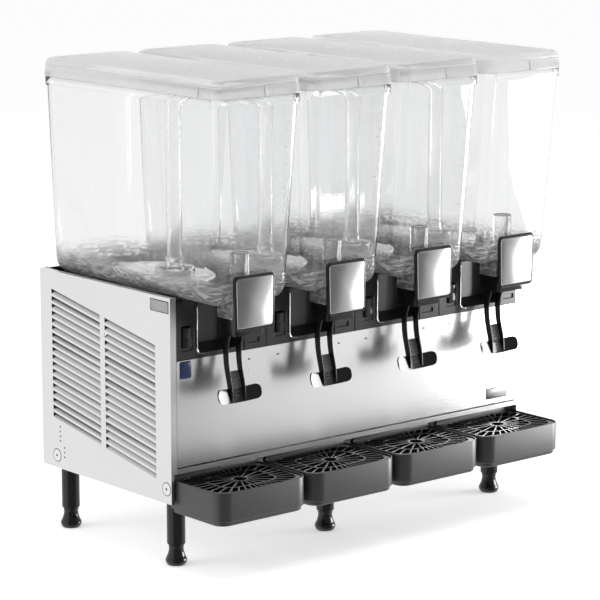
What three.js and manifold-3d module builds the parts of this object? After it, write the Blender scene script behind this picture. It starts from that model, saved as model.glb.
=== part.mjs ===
import * as THREE from 'three';
import { mergeVertices } from 'three/addons/utils/BufferGeometryUtils.js';
import Module from 'manifold-3d';

// Cold drink dispenser: a refrigerated cabinet with four lift-off bowls in a row,
// each with a push lever, a drip tray and a power rocker of its own.
// Millimetres, +Z up, front towards -Y, feet on Z = 0. Each module is drawn about its own X = 0.

const wasm = await Module();
wasm.setup();

// Layout of the modules
const moduleCount = 4;
const modulePitch = 197;

// Gaps shared by many pieces
const fitGap = 0.3;
const slideGap = 0.6;
const overrun = 2;
const leastRadius = 1;

// Steps of round forms
const cornerSteps = 2;
const roundSteps = 12;
const smallSteps = 8;
const stadiumSteps = 6;
const tubeSteps = 8;
const pinSteps = 6;
const quarterTurn = Math.PI / 2;
const fullTurn = Math.PI * 2;
const rightAngle = 90;
const fullCircle = 360;

// Cabinet
const cabinetDepth = 366;
const cabinetHeight = 345;
const cabinetSideMargin = 4;
const legHeight = 115;
const sheet = 1.2;

// Legs and feet
const legInset = 37;
const legBackInset = 28;
const middleLegOffset = -34.5;
const legTubeRadius = 15.25;
const legBoreRadius = 9;
const legBoreDepth = 66;
const footHeight = 36.4;
const footCollarHeight = 5;
const footNeckRadius = 12.6;
const footBulgeRadius = 18.5;
const footBulgeHeight = 11;
const footPadRadius = 14.5;
const footStemLength = 58;

// Chassis: a folded pan, four corner posts and a front rail
const panSheet = 2;
const panSillHeight = 34.7;
const panBackHeight = 26;
const postWidth = 22;
const postSheet = 2;
const railHeight = 8.5;
const railDepth = 6;
const railUndersideHeight = 50;
const railPanelGap = 2;

// Side panels
const flangeWidth = 12;
const lowerFlangeWidth = 6;
const backFlangeWidth = 16;
const topFlangeWidth = 10;
const louvreCount = 18;
const louvrePitch = 12.7;
const louvreOpening = 8.4;
const louvreSlope = 0.178;
const louvreDepth = 6.5;
const louvreRise = 8;
const louvreBlade = 1.4;
const louvreColumnWidth = 139;
const louvreColumnGap = 13.8;
const louvreBackMargin = 33.2;
const louvreTopMargin = 31.6;

// Front panel
const frontPanelHeight = 178.5;

// Deck and fascia
const deckDrop = 11;
const deckWall = 4;
const deckRimHeight = 10;
const deckRimWall = 2.5;
const fasciaWall = 3;
const seamWidth = 2;
const seamDepth = 1.2;
const bowlPadWidth = 12;
const bowlPadOffset = 70;
const bowlPadMargin = 18;
const bayHalf = 47;
const bayDepth = 33;
const bayFloorHeight = 8;
const bayFloorRise = 10;
const bayWall = 2.5;
const beadWidth = 3;
const beadHeight = 2.2;
const beadRadius = 10;
const tabLeft = 52;
const tabRight = 88;
const tabHeight = 28;
const tabLift = 1.5;
const tabSlotWidth = 26;
const tabSlotHeight = 8;
const tabSlotRise = 11;
const tabSlotDepth = 2.5;

// Rocker switch
const rockerOffset = -68.4;
const rockerCentreHeight = 38.5;
const rockerWidth = 15;
const rockerHeight = 34;
const rockerDepth = 9;
const rockerPivotDepth = 5;
const rockerPinRadius = 1.6;
const rockerPinReach = 1.8;
const rockerTilt = THREE.MathUtils.degToRad(7);
const rockerTaperShare = 0.7;
const rockerRecessWidth = 24;
const rockerRecessHeight = 48;
const rockerRecessDepth = 2;
const rockerWellDepth = 16;
const rockerWellWall = 2.5;

// Evaporator, spray tube and impeller
const evaporatorHalf = 62;
const evaporatorStraight = 80;
const evaporatorSetBack = 141;
const evaporatorHeight = 25.7;
const evaporatorEdge = 5;
const evaporatorRimWidth = 9;
const evaporatorDish = 2;
const pinRadius = 2.4;
const pinHeight = 10;
const pinForward = 24;
const tubeRadius = 13;
const tubeWall = 2.4;
const tubeLength = 310;
const tubeFootRadius = 34;
const tubeFootHeight = 15;
const tubeShoulder = 12;
const tubeIntakeWidth = 16;
const tubeIntakeHeight = 6;
const impellerRadius = 27;
const impellerHubRadius = 7;
const impellerHeight = 8;
const impellerDisc = 2;
const impellerVane = 2.4;
const impellerVaneCount = 4;

// Bowl
const bowlFootGap = 3.7;
const bowlWall = 3;
const bowlBaseHalf = 82.5;
const bowlTopHalf = 87;
const bowlBaseOverhang = 78;
const bowlTopOverhang = 107;
const bowlBackInset = 2.5;
const bowlBackOverhang = 11;
const bowlFrontRadius = 18;
const bowlBackRadius = 30;
const bowlEdgeRadius = 24;
const bowlFrontEdge = 14;
const bowlWallHeight = 322;
const rimStep = 3.4;
const rimHeight = 14.7;
const lipHeight = 10.3;
const lipInset = 1.6;
const collarWall = 3;
const collarHeight = 8;
const neckHalf = 30;
const neckReach = 72;
const neckRoot = 28;
const neckHeight = 26.7;
const spoutReachOut = 53;
const spoutRadius = 11;
const spoutBoreRadius = 8.5;
const spoutReach = 8.5;

// Lid
const lidStep = 0.9;
const lidWall = 2.4;
const lidSkirtHeight = 18;
const lidSkirtInset = 3;
const lidGrooveHeight = 2;
const lidGrooveDepth = 2;
const lidCrownHeight = 10;
const lidCrownInset = 10;
const lidFrontRadius = 21;
const lidBackRadius = 32;

// Valve housing: the block under the neck and the badge plate before it
const blockReach = 79;
const blockHeight = 27;
const blockEdge = 5;
const cavityHalf = 16;
const cavityFrontWall = 5;
const cavityTopWall = 3.7;
const badgeHeight = 91.7;
const badgeRise = 10.6;
const badgeTopHalf = 43;
const badgeBaseHalf = 40.6;
const badgeThickness = 7.5;
const badgeStandOff = 6.5;
const badgeRadius = 9;
const badgeBevel = 1.6;
const badgeFrame = 3.4;
const badgeRecess = 1;
const bossHalf = 20;
const bossHeight = 44;

// Push lever
const leverPivotInset = 12;
const leverPivotRise = 7.3;
const leverPinRadius = 2.5;
const leverPinReach = 3.5;
const leverBarrelRadius = 4.5;
const leverRibOuter = 15;
const leverRib = 3;
const leverArmTopRise = 3.5;
const leverArmHeight = 8.5;
const leverArmReach = 33.5;
const leverWaist = 33;
const leverWaistSetBack = 37.4;
const leverKnee = 63.6;
const leverKneeSetBack = 36.1;
const leverHip = 97;
const leverHipSetBack = 28.7;
const leverToe = 122;
const leverToeSetBack = 22.2;
const leverUpperDepth = 12;
const leverLowerDepth = 10.4;
const leverToeDepth = 5;
const leverInsertTop = 75;
const leverInsertWall = 2.5;
const padHalf = 45.5;
const padHeight = 25;
const padWall = 3;
const padRadius = 6;

// Plunger
const plungerRadius = 16;
const plungerSeatRadius = 10.5;
const plungerSeatHeight = 6.7;
const plungerHeight = 76.7;
const plungerEdge = 2;
const plungerStemRadius = 8;
const plungerTipRadius = 7;
const plungerCross = 3.5;
const plungerCrossHalf = 15.5;
const plungerCrossWidth = 5;
const plungerCrossGap = 0.5;
const plungerTip = 2;

// Drip tray and grille
const trayReach = 118;
const traySetBack = 17;
const traySideGap = 4.2;
const trayHeight = 57;
const trayRimRise = 40;
const trayFrontRadius = 25;
const trayBackRadius = 9;
const trayWall = 2.5;
const trayFloor = 3;
const trayFootHeight = 8;
const trayFootInset = 4;
const trayLedge = 2.4;
const trayBackLip = 7;
const trayHookHalf = 88;
const trayHookDrop = 4;
const trayHookWall = 2.4;
const grilleThickness = 3;
const grilleDrop = 1.8;
const grilleHubRadius = 11;
const grilleHubWall = 4;
const grilleBar = 2.8;
const grilleRingWidth = 3.6;
const grilleFrame = 5;
const grilleMidHalfX = 55;
const grilleMidHalfY = 39;
const grilleBarCount = 24;
const grilleSquareness = 5;

// Refrigeration in the cabinet
const compressorCentreX = -150;
const compressorBackInset = 143;
const compressorRadius = 72;
const compressorHeight = 150;
const compressorFoot = 4;
const compressorFlange = 14;
const condenserWidth = 44;
const condenserLength = 250;
const condenserHeight = 230;
const condenserSideGap = 14;
const condenserFin = 4;
const condenserGroove = 5;
const condenserFinCount = 8;
const shroudWall = 2;
const shroudThroat = 100;
const shroudRing = 20;
const shroudArm = 12;
const fanRadius = 94;
const fanHubRadius = 22;
const fanBlade = 2;
const fanBladeCount = 5;
const fanPitch = THREE.MathUtils.degToRad(28);
const fanBladeWidth = 22;
const motorRadius = 26;
const motorLength = 34;

// Rear panel
const rearSlotCount = 5;
const rearSlotPitch = 30;
const rearSlotHeight = 6;
const rearSlotLength = 250;
const rearSlotBase = 60;
const glandRadius = 9;
const glandBore = 4.5;
const glandLength = 12;
const glandInset = 60;
const glandRise = 36;

// Places worked out from the sizes above
const cabinetHalf = moduleCount * modulePitch / 2 + cabinetSideMargin;
const cabinetFront = -cabinetDepth / 2;
const cabinetBack = cabinetDepth / 2;
const cabinetTop = legHeight + cabinetHeight;
const evaporatorCentre = cabinetFront + evaporatorSetBack;
const pinCentre = evaporatorCentre - pinForward;
const bowlBaseFront = cabinetFront - bowlBaseOverhang;
const bowlTopFront = cabinetFront - bowlTopOverhang;
const bowlBaseBack = cabinetBack - bowlBackInset;
const bowlTopBack = cabinetBack + bowlBackOverhang;
const neckFront = cabinetFront - neckReach;
const neckBack = cabinetFront - neckRoot;
const spoutCentre = cabinetFront - spoutReachOut;
const blockFront = cabinetFront - blockReach;
const trayFront = cabinetFront - trayReach;
const trayBack = cabinetFront + traySetBack;
const trayRim = legHeight + trayRimRise;
const railBottom = legHeight + railUndersideHeight;
const railTop = railBottom + railHeight;
const frontPanelBottom = railTop + railPanelGap;
const fasciaBottom = frontPanelBottom + frontPanelHeight;
const deckTop = cabinetTop - deckDrop;
const deckUnderside = deckTop - deckWall;
const panHalf = cabinetHalf - sheet - fitGap;
const openingHalf = cabinetHalf - flangeWidth - fitGap;
const evaporatorBase = deckTop + fitGap;
const evaporatorTop = evaporatorBase + evaporatorHeight;
const evaporatorFloor = evaporatorTop - evaporatorDish;
const bowlBottom = deckTop + bowlFootGap + fitGap;
const bowlFloor = bowlBottom + bowlWall;
const rimBottom = bowlBottom + bowlWallHeight;
const rimTop = rimBottom + rimHeight;
const lidBottom = rimTop + fitGap;
const lidGroove = lidBottom + lidSkirtHeight;
const lidCrown = lidGroove + lidGrooveHeight;
const lidTop = lidCrown + lidCrownHeight;
const neckBottom = bowlBottom - neckHeight;
const spoutBottom = neckBottom - spoutReach;
const blockTop = neckBottom - fitGap;
const blockBottom = blockTop - blockHeight;
const cavityTop = blockTop - cavityTopWall;
const badgeBottom = blockBottom + badgeRise;
const badgeBack = blockFront - badgeStandOff;
const pivotY = blockFront + leverPivotInset;
const pivotZ = blockBottom + leverPivotRise;
const armTop = pivotZ + leverArmTopRise;
const rockerCentreZ = fasciaBottom + rockerCentreHeight;
const trayHalf = modulePitch / 2 - traySideGap;
const trayBottom = trayRim - trayHeight;
const sillTop = legHeight + panSillHeight;
const sillFront = trayBack + fitGap;
const grilleTop = trayRim - grilleDrop;
const grilleBottom = grilleTop - grilleThickness;
const trayLedgeTop = grilleBottom - fitGap;
const panTop = legHeight + panSheet;
const centreShift = -(trayFront + bowlTopBack + rimStep + lidStep) / 2;

// Materials
const steel = new THREE.MeshStandardMaterial({ color: 0xc9cacb, roughness: 0.32, metalness: 0.95 });
const zinc = new THREE.MeshStandardMaterial({ color: 0xa9abad, roughness: 0.45, metalness: 0.85 });
const black = new THREE.MeshStandardMaterial({ color: 0x17181a, roughness: 0.3, metalness: 0 });
const trayGrey = new THREE.MeshStandardMaterial({ color: 0x3a3b3e, roughness: 0.55, metalness: 0 });
const clear = new THREE.MeshStandardMaterial({
  color: 0xeef2f3, roughness: 0.05, metalness: 0, transparent: true, opacity: 0.3,
});
const copper = new THREE.MeshStandardMaterial({ color: 0xa8a6a0, roughness: 0.4, metalness: 0.8 });

// Solids from geometry, and booleans between them

function signedVolume(points, corners) {
  let total = 0;
  const [a, b, c] = [new THREE.Vector3(), new THREE.Vector3(), new THREE.Vector3()];
  for (let i = 0; i < corners.length; i += 3) {
    a.fromArray(points, corners[i] * 3);
    b.fromArray(points, corners[i + 1] * 3);
    c.fromArray(points, corners[i + 2] * 3);
    total += a.dot(b.cross(c));
  }
  return total;
}

function solid(geometry) {
  geometry.deleteAttribute('normal');
  geometry.deleteAttribute('uv');
  const welded = mergeVertices(geometry);
  const points = welded.attributes.position.array;
  const corners = [];
  for (let i = 0; i < welded.index.count; i += 3) {
    const [a, b, c] = [i, i + 1, i + 2].map((k) => welded.index.getX(k));
    if (a !== b && b !== c && c !== a) corners.push(a, b, c);
  }
  if (signedVolume(points, corners) < 0) corners.reverse();
  return new wasm.Manifold(new wasm.Mesh({
    numProp: 3,
    vertProperties: new Float32Array(points),
    triVerts: new Uint32Array(corners),
  }));
}

function join(...bodies) {
  return bodies.reduce((whole, body) => whole.add(body));
}

function cut(body, ...tools) {
  return tools.reduce((rest, tool) => rest.subtract(tool), body);
}

function repeat(count, make) {
  return Array.from({ length: count }, (_, index) => make(index));
}

function mix(low, high, share) {
  return low + (high - low) * share;
}

// A box from its low and high corners
function block(low, high) {
  const [x, y, z] = high.map((value, axis) => value - low[axis]);
  const box = new THREE.BoxGeometry(x, y, z);
  return solid(box.translate(low[0] + x / 2, low[1] + y / 2, low[2] + z / 2));
}

// A solid through rings of equal point counts, closed by a fan over each end ring
function loft(rings) {
  const count = rings[0].length;
  const faces = [];
  for (let level = 1; level < rings.length; level += 1) {
    const high = level * count;
    const low = high - count;
    for (let i = 0; i < count; i += 1) {
      const next = (i + 1) % count;
      faces.push(low + i, low + next, high + next, low + i, high + next, high + i);
    }
  }
  const last = (rings.length - 1) * count;
  for (let i = 1; i < count - 1; i += 1) {
    faces.push(0, i + 1, i, last, last + i, last + i + 1);
  }
  const geometry = new THREE.BufferGeometry();
  geometry.setAttribute('position', new THREE.Float32BufferAttribute(rings.flat(2), 3));
  geometry.setIndex(faces);
  return solid(geometry);
}

function arc(x, y, radius, from, to, steps) {
  return repeat(steps + 1, (i) => {
    const turn = mix(from, to, i / steps);
    return [x + radius * Math.cos(turn), y + radius * Math.sin(turn)];
  });
}

// A rectangle with round corners: its front and back corners have radii of their own
function roundRect({ half, front, back, frontRadius, backRadius }, steps = cornerSteps) {
  const corners = [
    [half - frontRadius, front + frontRadius, frontRadius],
    [half - backRadius, back - backRadius, backRadius],
    [backRadius - half, back - backRadius, backRadius],
    [frontRadius - half, front + frontRadius, frontRadius],
  ];
  return corners.flatMap(([x, y, radius], corner) => (
    arc(x, y, radius, (corner - 1) * quarterTurn, corner * quarterTurn, steps)
  ));
}

function shrunk(rect, inset) {
  return {
    half: rect.half - inset,
    front: rect.front + inset,
    back: rect.back - inset,
    frontRadius: Math.max(rect.frontRadius - inset, leastRadius),
    backRadius: Math.max(rect.backRadius - inset, leastRadius),
  };
}

function level(outline, z) {
  return outline.map(([x, y]) => [x, y, z]);
}

function shapeOf(outline) {
  return new THREE.Shape(outline.map(([x, y]) => new THREE.Vector2(x, y)));
}

function extruded(outline, depth) {
  return new THREE.ExtrudeGeometry(shapeOf(outline), { depth, bevelEnabled: false });
}

// An outline in X and Y, standing from low to high
function prismZ(outline, low, high) {
  return solid(extruded(outline, high - low).translate(0, 0, low));
}

// An outline in Y and Z, running from low to high along X
function prismX(outline, low, high) {
  const turn = new THREE.Matrix4().makeBasis(
    new THREE.Vector3(0, 1, 0), new THREE.Vector3(0, 0, 1), new THREE.Vector3(1, 0, 0),
  );
  return solid(extruded(outline, high - low).applyMatrix4(turn).translate(low, 0, 0));
}

// An outline in X and Z, running from front to back along Y
function prismY(outline, front, back) {
  return solid(extruded(outline, back - front).rotateX(quarterTurn).translate(0, back, 0));
}

// A profile of radius and height turned about Z
function turned(profile, steps = roundSteps) {
  const points = profile.map(([radius, height]) => new THREE.Vector2(radius, height));
  return solid(new THREE.LatheGeometry(points, steps).rotateX(quarterTurn));
}

// A round bar along Z
function barZ(x, y, low, high, radius, steps = roundSteps) {
  const bar = new THREE.CylinderGeometry(radius, radius, high - low, steps).rotateX(quarterTurn);
  return solid(bar.translate(x, y, (low + high) / 2));
}

// A round bar along X
function barX(low, high, y, z, radius, steps = smallSteps) {
  const bar = new THREE.CylinderGeometry(radius, radius, high - low, steps).rotateZ(quarterTurn);
  return solid(bar.translate((low + high) / 2, y, z));
}

function piece(name, body, material) {
  const raw = body.getMesh();
  const geometry = new THREE.BufferGeometry();
  geometry.setAttribute('position', new THREE.BufferAttribute(raw.vertProperties, raw.numProp));
  geometry.setIndex(new THREE.BufferAttribute(raw.triVerts, 1));
  geometry.computeVertexNormals();
  const mesh = new THREE.Mesh(geometry, material);
  mesh.name = name;
  return mesh;
}

// Bowl: a drafted tank with a rounded floor edge, a rim flange and a lip that the lid sits round

function bowlRing(z, inset, frontInset = inset) {
  const share = Math.min((z - bowlBottom) / bowlWallHeight, 1);
  const rect = {
    half: mix(bowlBaseHalf, bowlTopHalf, share),
    front: mix(bowlBaseFront, bowlTopFront, share),
    back: mix(bowlBaseBack, bowlTopBack, share),
    frontRadius: bowlFrontRadius,
    backRadius: bowlBackRadius,
  };
  const inner = shrunk(rect, inset);
  return level(roundRect({ ...inner, front: inner.front - inset + frontInset }), z);
}

function floorEdge(bottom, radius, inset) {
  const frontRadius = radius - bowlEdgeRadius + bowlFrontEdge;
  return repeat(cornerSteps + 1, (i) => {
    const turn = i / cornerSteps * quarterTurn;
    const slack = 1 - Math.sin(turn);
    const height = bottom + radius * (1 - Math.cos(turn));
    return bowlRing(height, inset + radius * slack, inset + frontRadius * slack);
  });
}

function stadium(inset) {
  const radius = evaporatorHalf - inset;
  const front = evaporatorCentre - evaporatorStraight / 2;
  const back = evaporatorCentre + evaporatorStraight / 2;
  return [
    ...arc(0, back, radius, 0, Math.PI, stadiumSteps),
    ...arc(0, front, radius, Math.PI, fullTurn, stadiumSteps),
  ];
}

function makeBowl() {
  const lipTop = rimTop + lipHeight;
  const inside = floorEdge(bowlFloor, bowlEdgeRadius - bowlWall, bowlWall);
  const room = loft([...inside, bowlRing(lipTop + overrun, bowlWall)]);
  const tank = loft([
    ...floorEdge(bowlBottom, bowlEdgeRadius, 0),
    bowlRing(rimBottom, 0),
    bowlRing(rimBottom, -rimStep),
    bowlRing(rimTop, -rimStep),
    bowlRing(rimTop, lipInset),
    bowlRing(lipTop, lipInset),
    bowlRing(lipTop, bowlWall),
    ...[...inside].reverse(),
  ]);
  const neckRect = {
    half: neckHalf, front: neckFront, back: neckBack, frontRadius: blockEdge, backRadius: blockEdge,
  };
  const neck = prismZ(roundRect(neckRect, 1), neckBottom, bowlBottom + bowlEdgeRadius / 2);
  const spout = barZ(0, spoutCentre, spoutBottom, bowlFloor - fitGap, spoutRadius, smallSteps);
  const bore = barZ(0, spoutCentre, spoutBottom - overrun, bowlFloor + overrun, spoutBoreRadius, smallSteps);
  const collar = prismZ(stadium(-slideGap - collarWall), bowlBottom, bowlBottom + collarHeight);
  const hole = prismZ(stadium(-slideGap), bowlBottom - overrun, bowlBottom + collarHeight + overrun);
  const body = cut(join(tank, neck), room);
  return cut(join(body, spout, collar), bore, hole);
}

// Lid: a flared skirt, a groove and a crown that rolls over to a flat top, hollow below

function lidRing(z, inset) {
  const rect = {
    half: bowlTopHalf + rimStep + lidStep,
    front: bowlTopFront - rimStep - lidStep,
    back: bowlTopBack + rimStep + lidStep,
    frontRadius: lidFrontRadius,
    backRadius: lidBackRadius,
  };
  return level(roundRect(shrunk(rect, inset)), z);
}

function makeLid() {
  const groove = lidSkirtInset + lidGrooveDepth;
  const crown = repeat(cornerSteps + 1, (i) => {
    const turn = i / cornerSteps * quarterTurn;
    const inset = mix(lidSkirtInset, lidCrownInset, 1 - Math.cos(turn));
    return lidRing(lidCrown + lidCrownHeight * Math.sin(turn), inset);
  });
  const shell = loft([
    lidRing(lidBottom, 0),
    lidRing(lidGroove, lidSkirtInset),
    lidRing(lidGroove, groove),
    lidRing(lidCrown, groove),
    ...crown,
  ]);
  const hollow = loft([
    lidRing(lidBottom - overrun, lidWall),
    lidRing(lidGroove - lidWall, lidSkirtInset + lidWall),
    lidRing(lidGroove, groove + lidWall),
    lidRing(lidTop - lidWall, lidCrownInset),
  ]);
  return cut(shell, hollow);
}

// Evaporator: an oblong steel drum with a dished top and the impeller's pin

function makeEvaporator() {
  const drum = loft([
    level(stadium(0), evaporatorBase),
    level(stadium(0), evaporatorTop - evaporatorEdge),
    level(stadium(evaporatorEdge / 2), evaporatorTop),
    level(stadium(evaporatorRimWidth), evaporatorTop),
    level(stadium(evaporatorRimWidth), evaporatorFloor),
  ]);
  const pinLow = evaporatorFloor - overrun;
  const pin = barZ(0, pinCentre, pinLow, evaporatorFloor + pinHeight, pinRadius, pinSteps);
  return drum.add(pin);
}

function makeSprayTube() {
  const bottom = evaporatorFloor + fitGap;
  const shoulder = bottom + tubeFootHeight;
  const top = bottom + tubeLength;
  const bell = turned([
    [tubeFootRadius - tubeWall, bottom],
    [tubeFootRadius, bottom],
    [tubeFootRadius, shoulder],
    [tubeRadius, shoulder + tubeShoulder],
    [tubeRadius, top],
    [tubeRadius - tubeWall, top],
    [tubeRadius - tubeWall, shoulder + tubeShoulder - tubeWall],
    [tubeFootRadius - tubeWall, shoulder - tubeWall],
    [tubeFootRadius - tubeWall, bottom],
  ], tubeSteps).translate([0, pinCentre, 0]);
  const reach = tubeFootRadius + overrun;
  const intake = block([-reach, -tubeIntakeWidth / 2, 0], [reach, tubeIntakeWidth / 2, tubeIntakeHeight]);
  return cut(bell, intake.translate([0, pinCentre, bottom - overrun]));
}

function makeImpeller() {
  const bottom = evaporatorFloor + slideGap;
  const disc = bottom + impellerDisc;
  const top = bottom + impellerHeight;
  const hub = turned([
    [pinRadius + fitGap, bottom],
    [impellerRadius, bottom],
    [impellerRadius, disc],
    [impellerHubRadius, top],
    [pinRadius + fitGap, top],
    [pinRadius + fitGap, bottom],
  ], smallSteps);
  const vanes = repeat(impellerVaneCount, (i) => {
    const root = impellerHubRadius - impellerVane;
    const vane = block(
      [root, -impellerVane / 2, disc - impellerDisc / 2],
      [impellerRadius - impellerVane, impellerVane / 2, top - impellerDisc / 2],
    );
    return vane.rotate([0, 0, i * fullCircle / impellerVaneCount]);
  });
  return join(hub, ...vanes).translate([0, pinCentre, 0]);
}

// Valve housing: the block is a fork over the lever's arms, the badge plate stands before it

function badgeRing(y, inset) {
  const middle = (badgeBaseHalf + badgeTopHalf) / 2;
  const rect = shrunk({
    half: middle,
    front: badgeBottom,
    back: badgeBottom + badgeHeight,
    frontRadius: badgeRadius,
    backRadius: badgeRadius,
  }, inset);
  const flare = (badgeTopHalf - badgeBaseHalf) / badgeHeight;
  return roundRect(rect).map(([x, z]) => {
    const spread = 1 + flare * (z - badgeBottom - badgeHeight / 2) / middle;
    return [x * spread, y, z];
  });
}

function makeValveHousing() {
  const badgeFront = badgeBack - badgeThickness;
  const badge = loft([
    badgeRing(badgeBack, badgeBevel),
    badgeRing(badgeBack - badgeBevel, 0),
    badgeRing(badgeFront + badgeBevel, 0),
    badgeRing(badgeFront, badgeBevel),
    badgeRing(badgeFront, badgeFrame + badgeBevel),
    badgeRing(badgeFront + badgeRecess, badgeFrame + badgeBevel),
  ]);
  const blockRect = {
    half: neckHalf, front: blockFront, back: neckBack, frontRadius: blockEdge, backRadius: blockEdge,
  };
  const body = prismZ(roundRect(blockRect, 1), blockBottom, blockTop);
  const boss = block(
    [-bossHalf, badgeBack - badgeBevel, badgeBottom + badgeBevel],
    [bossHalf, blockFront + overrun, Math.min(badgeBottom + bossHeight, blockTop)],
  );
  const cavity = block(
    [-cavityHalf, blockFront + cavityFrontWall, blockBottom - overrun],
    [cavityHalf, neckBack + overrun, cavityTop],
  );
  const mouthRadius = spoutRadius + slideGap;
  const mouth = barZ(0, spoutCentre, cavityTop - overrun, blockTop + overrun, mouthRadius, smallSteps);
  const eyeHalf = cavityHalf + leverPinReach - fitGap;
  const eyes = barX(-eyeHalf, eyeHalf, pivotY, pivotZ, leverPinRadius + fitGap, pinSteps);
  return cut(join(body, boss, badge), cavity, mouth, eyes);
}

// Push lever: two curved ribs that hang from a barrel in the block, with a winged pad at the toe

function leverRibOutline() {
  const back = (setBack) => pivotY + setBack;
  const down = (drop) => pivotZ - drop;
  return [
    [back(-leverBarrelRadius + leverPinRadius / 2), armTop],
    [back(-leverBarrelRadius + leverPinRadius / 2), armTop - leverArmHeight],
    [back(leverArmReach - leverUpperDepth - leverRib), armTop - leverArmHeight],
    [back(leverArmReach - leverUpperDepth - leverRib / 2), down(leverArmHeight + leverRib)],
    [back(leverWaistSetBack - leverUpperDepth), down(leverWaist)],
    [back(leverKneeSetBack - leverLowerDepth), down(leverKnee)],
    [back(leverHipSetBack - leverLowerDepth), down(leverHip)],
    [back(leverToeSetBack - leverToeDepth), down(leverToe)],
    [back(leverToeSetBack), down(leverToe)],
    [back(leverHipSetBack), down(leverHip)],
    [back(leverKneeSetBack), down(leverKnee)],
    [back(leverWaistSetBack), down(leverWaist)],
    [back(leverArmReach), armTop - leverArmHeight],
    [back(leverArmReach), armTop],
  ];
}

// Y of the lever's rear edge at a drop below the pivot, between its hip and its toe
function leverRearAt(drop) {
  const share = (drop - leverHip) / (leverToe - leverHip);
  return pivotY + mix(leverHipSetBack, leverToeSetBack, share);
}

function leverStrip(topDrop, bottomDrop, wall) {
  return [
    [leverRearAt(topDrop) - wall, pivotZ - topDrop],
    [leverRearAt(bottomDrop) - wall, pivotZ - bottomDrop],
    [leverRearAt(bottomDrop), pivotZ - bottomDrop],
    [leverRearAt(topDrop), pivotZ - topDrop],
  ];
}

function makeLever() {
  const ribInner = leverRibOuter - leverRib;
  const ribs = [-1, 1].map((side) => {
    const faces = [side * ribInner, side * leverRibOuter].sort((a, b) => a - b);
    return prismX(leverRibOutline(), ...faces);
  });
  const barrel = barX(-ribInner, ribInner, pivotY, pivotZ, leverBarrelRadius, pinSteps);
  const pinEnd = leverRibOuter + leverPinReach;
  const pins = [
    barX(-pinEnd, -leverRibOuter, pivotY, pivotZ, leverPinRadius, pinSteps),
    barX(leverRibOuter, pinEnd, pivotY, pivotZ, leverPinRadius, pinSteps),
  ];
  const insertOutline = [
    [pivotY + leverKneeSetBack - leverInsertWall, pivotZ - leverInsertTop],
    [leverRearAt(leverHip) - leverInsertWall, pivotZ - leverHip],
    [leverRearAt(leverToe) - leverInsertWall, pivotZ - leverToe],
    [leverRearAt(leverToe), pivotZ - leverToe],
    [leverRearAt(leverHip), pivotZ - leverHip],
    [pivotY + leverKneeSetBack - fitGap, pivotZ - leverInsertTop],
  ];
  const insert = prismX(insertOutline, -ribInner, ribInner);
  const padBottom = leverToe + padWall;
  const padTop = padBottom - padHeight;
  const plate = prismX(leverStrip(padTop, padBottom, padWall), -padHalf, padHalf);
  const padRect = {
    half: padHalf,
    front: pivotZ - padBottom,
    back: pivotZ - padTop,
    frontRadius: padRadius,
    backRadius: padRadius,
  };
  const trim = prismY(roundRect(padRect), pivotY, pivotY + leverArmReach);
  return join(...ribs, barrel, ...pins, insert, plate.intersect(trim));
}

// Plunger: a clear float-like head that seats on the bowl's floor, and a stem with a cross bar below

function makePlunger() {
  const seat = bowlFloor + fitGap;
  const top = seat + plungerHeight;
  const crossBottom = armTop + plungerCrossGap;
  const stemTurn = spoutBottom - plungerCross;
  const body = turned([
    [0, crossBottom - plungerTip],
    [plungerTipRadius, crossBottom - plungerTip],
    [plungerTipRadius, stemTurn],
    [plungerStemRadius, stemTurn + plungerCross],
    [plungerStemRadius, seat],
    [plungerSeatRadius, seat],
    [plungerRadius, seat + plungerSeatHeight],
    [plungerRadius, top - plungerEdge],
    [plungerRadius - plungerEdge, top],
    [0, top],
  ], smallSteps).translate([0, spoutCentre, 0]);
  const cross = block(
    [-plungerCrossHalf, spoutCentre - plungerCrossWidth / 2, crossBottom],
    [plungerCrossHalf, spoutCentre + plungerCrossWidth / 2, crossBottom + plungerCross],
  );
  return body.add(cross);
}

// Drip tray: a deep tray with a foot step, a ledge for the grille and a hook over the chassis sill

const trayRect = {
  half: trayHalf, front: trayFront, back: trayBack, frontRadius: trayFrontRadius, backRadius: trayBackRadius,
};

function trayRing(z, inset) {
  return level(roundRect(shrunk(trayRect, inset)), z);
}

function makeTray() {
  const step = trayBottom + trayFootHeight;
  const tub = loft([
    trayRing(trayBottom, trayFootInset),
    trayRing(step, trayFootInset),
    trayRing(step, 0),
    trayRing(trayRim, 0),
    trayRing(trayRim, trayWall),
    trayRing(trayLedgeTop, trayWall),
    trayRing(trayLedgeTop, trayWall + trayLedge),
    trayRing(trayBottom + trayFloor, trayWall + trayFootInset),
  ]);
  const hookBack = sillFront + panSheet + slideGap;
  const hook = prismX([
    [trayBack - trayWall, sillTop + fitGap],
    [hookBack, sillTop + fitGap],
    [hookBack, sillTop - trayHookDrop],
    [hookBack + trayHookWall, sillTop - trayHookDrop],
    [hookBack + trayHookWall, trayRim],
    [trayBack, trayRim + trayBackLip],
    [trayBack - trayWall, trayRim + trayBackLip],
  ], -trayHookHalf, trayHookHalf);
  return tub.add(hook);
}

// Drip grille: two zones of radial bars about a hub, held by a middle ring and the frame.
// Ring and frame are superellipses about the hub; a bar keeps its width from ring to ring.

function ringRadius(angle, halfX, halfY) {
  const along = (Math.abs(Math.cos(angle)) / halfX) ** grilleSquareness;
  const across = (Math.abs(Math.sin(angle)) / halfY) ** grilleSquareness;
  return (along + across) ** (-1 / grilleSquareness);
}

function onRing(angle, side, radiusAt) {
  const shift = side * Math.asin(grilleBar / 2 / radiusAt(angle));
  const radius = radiusAt(angle + shift);
  return [radius * Math.cos(angle + shift), radius * Math.sin(angle + shift)];
}

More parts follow.
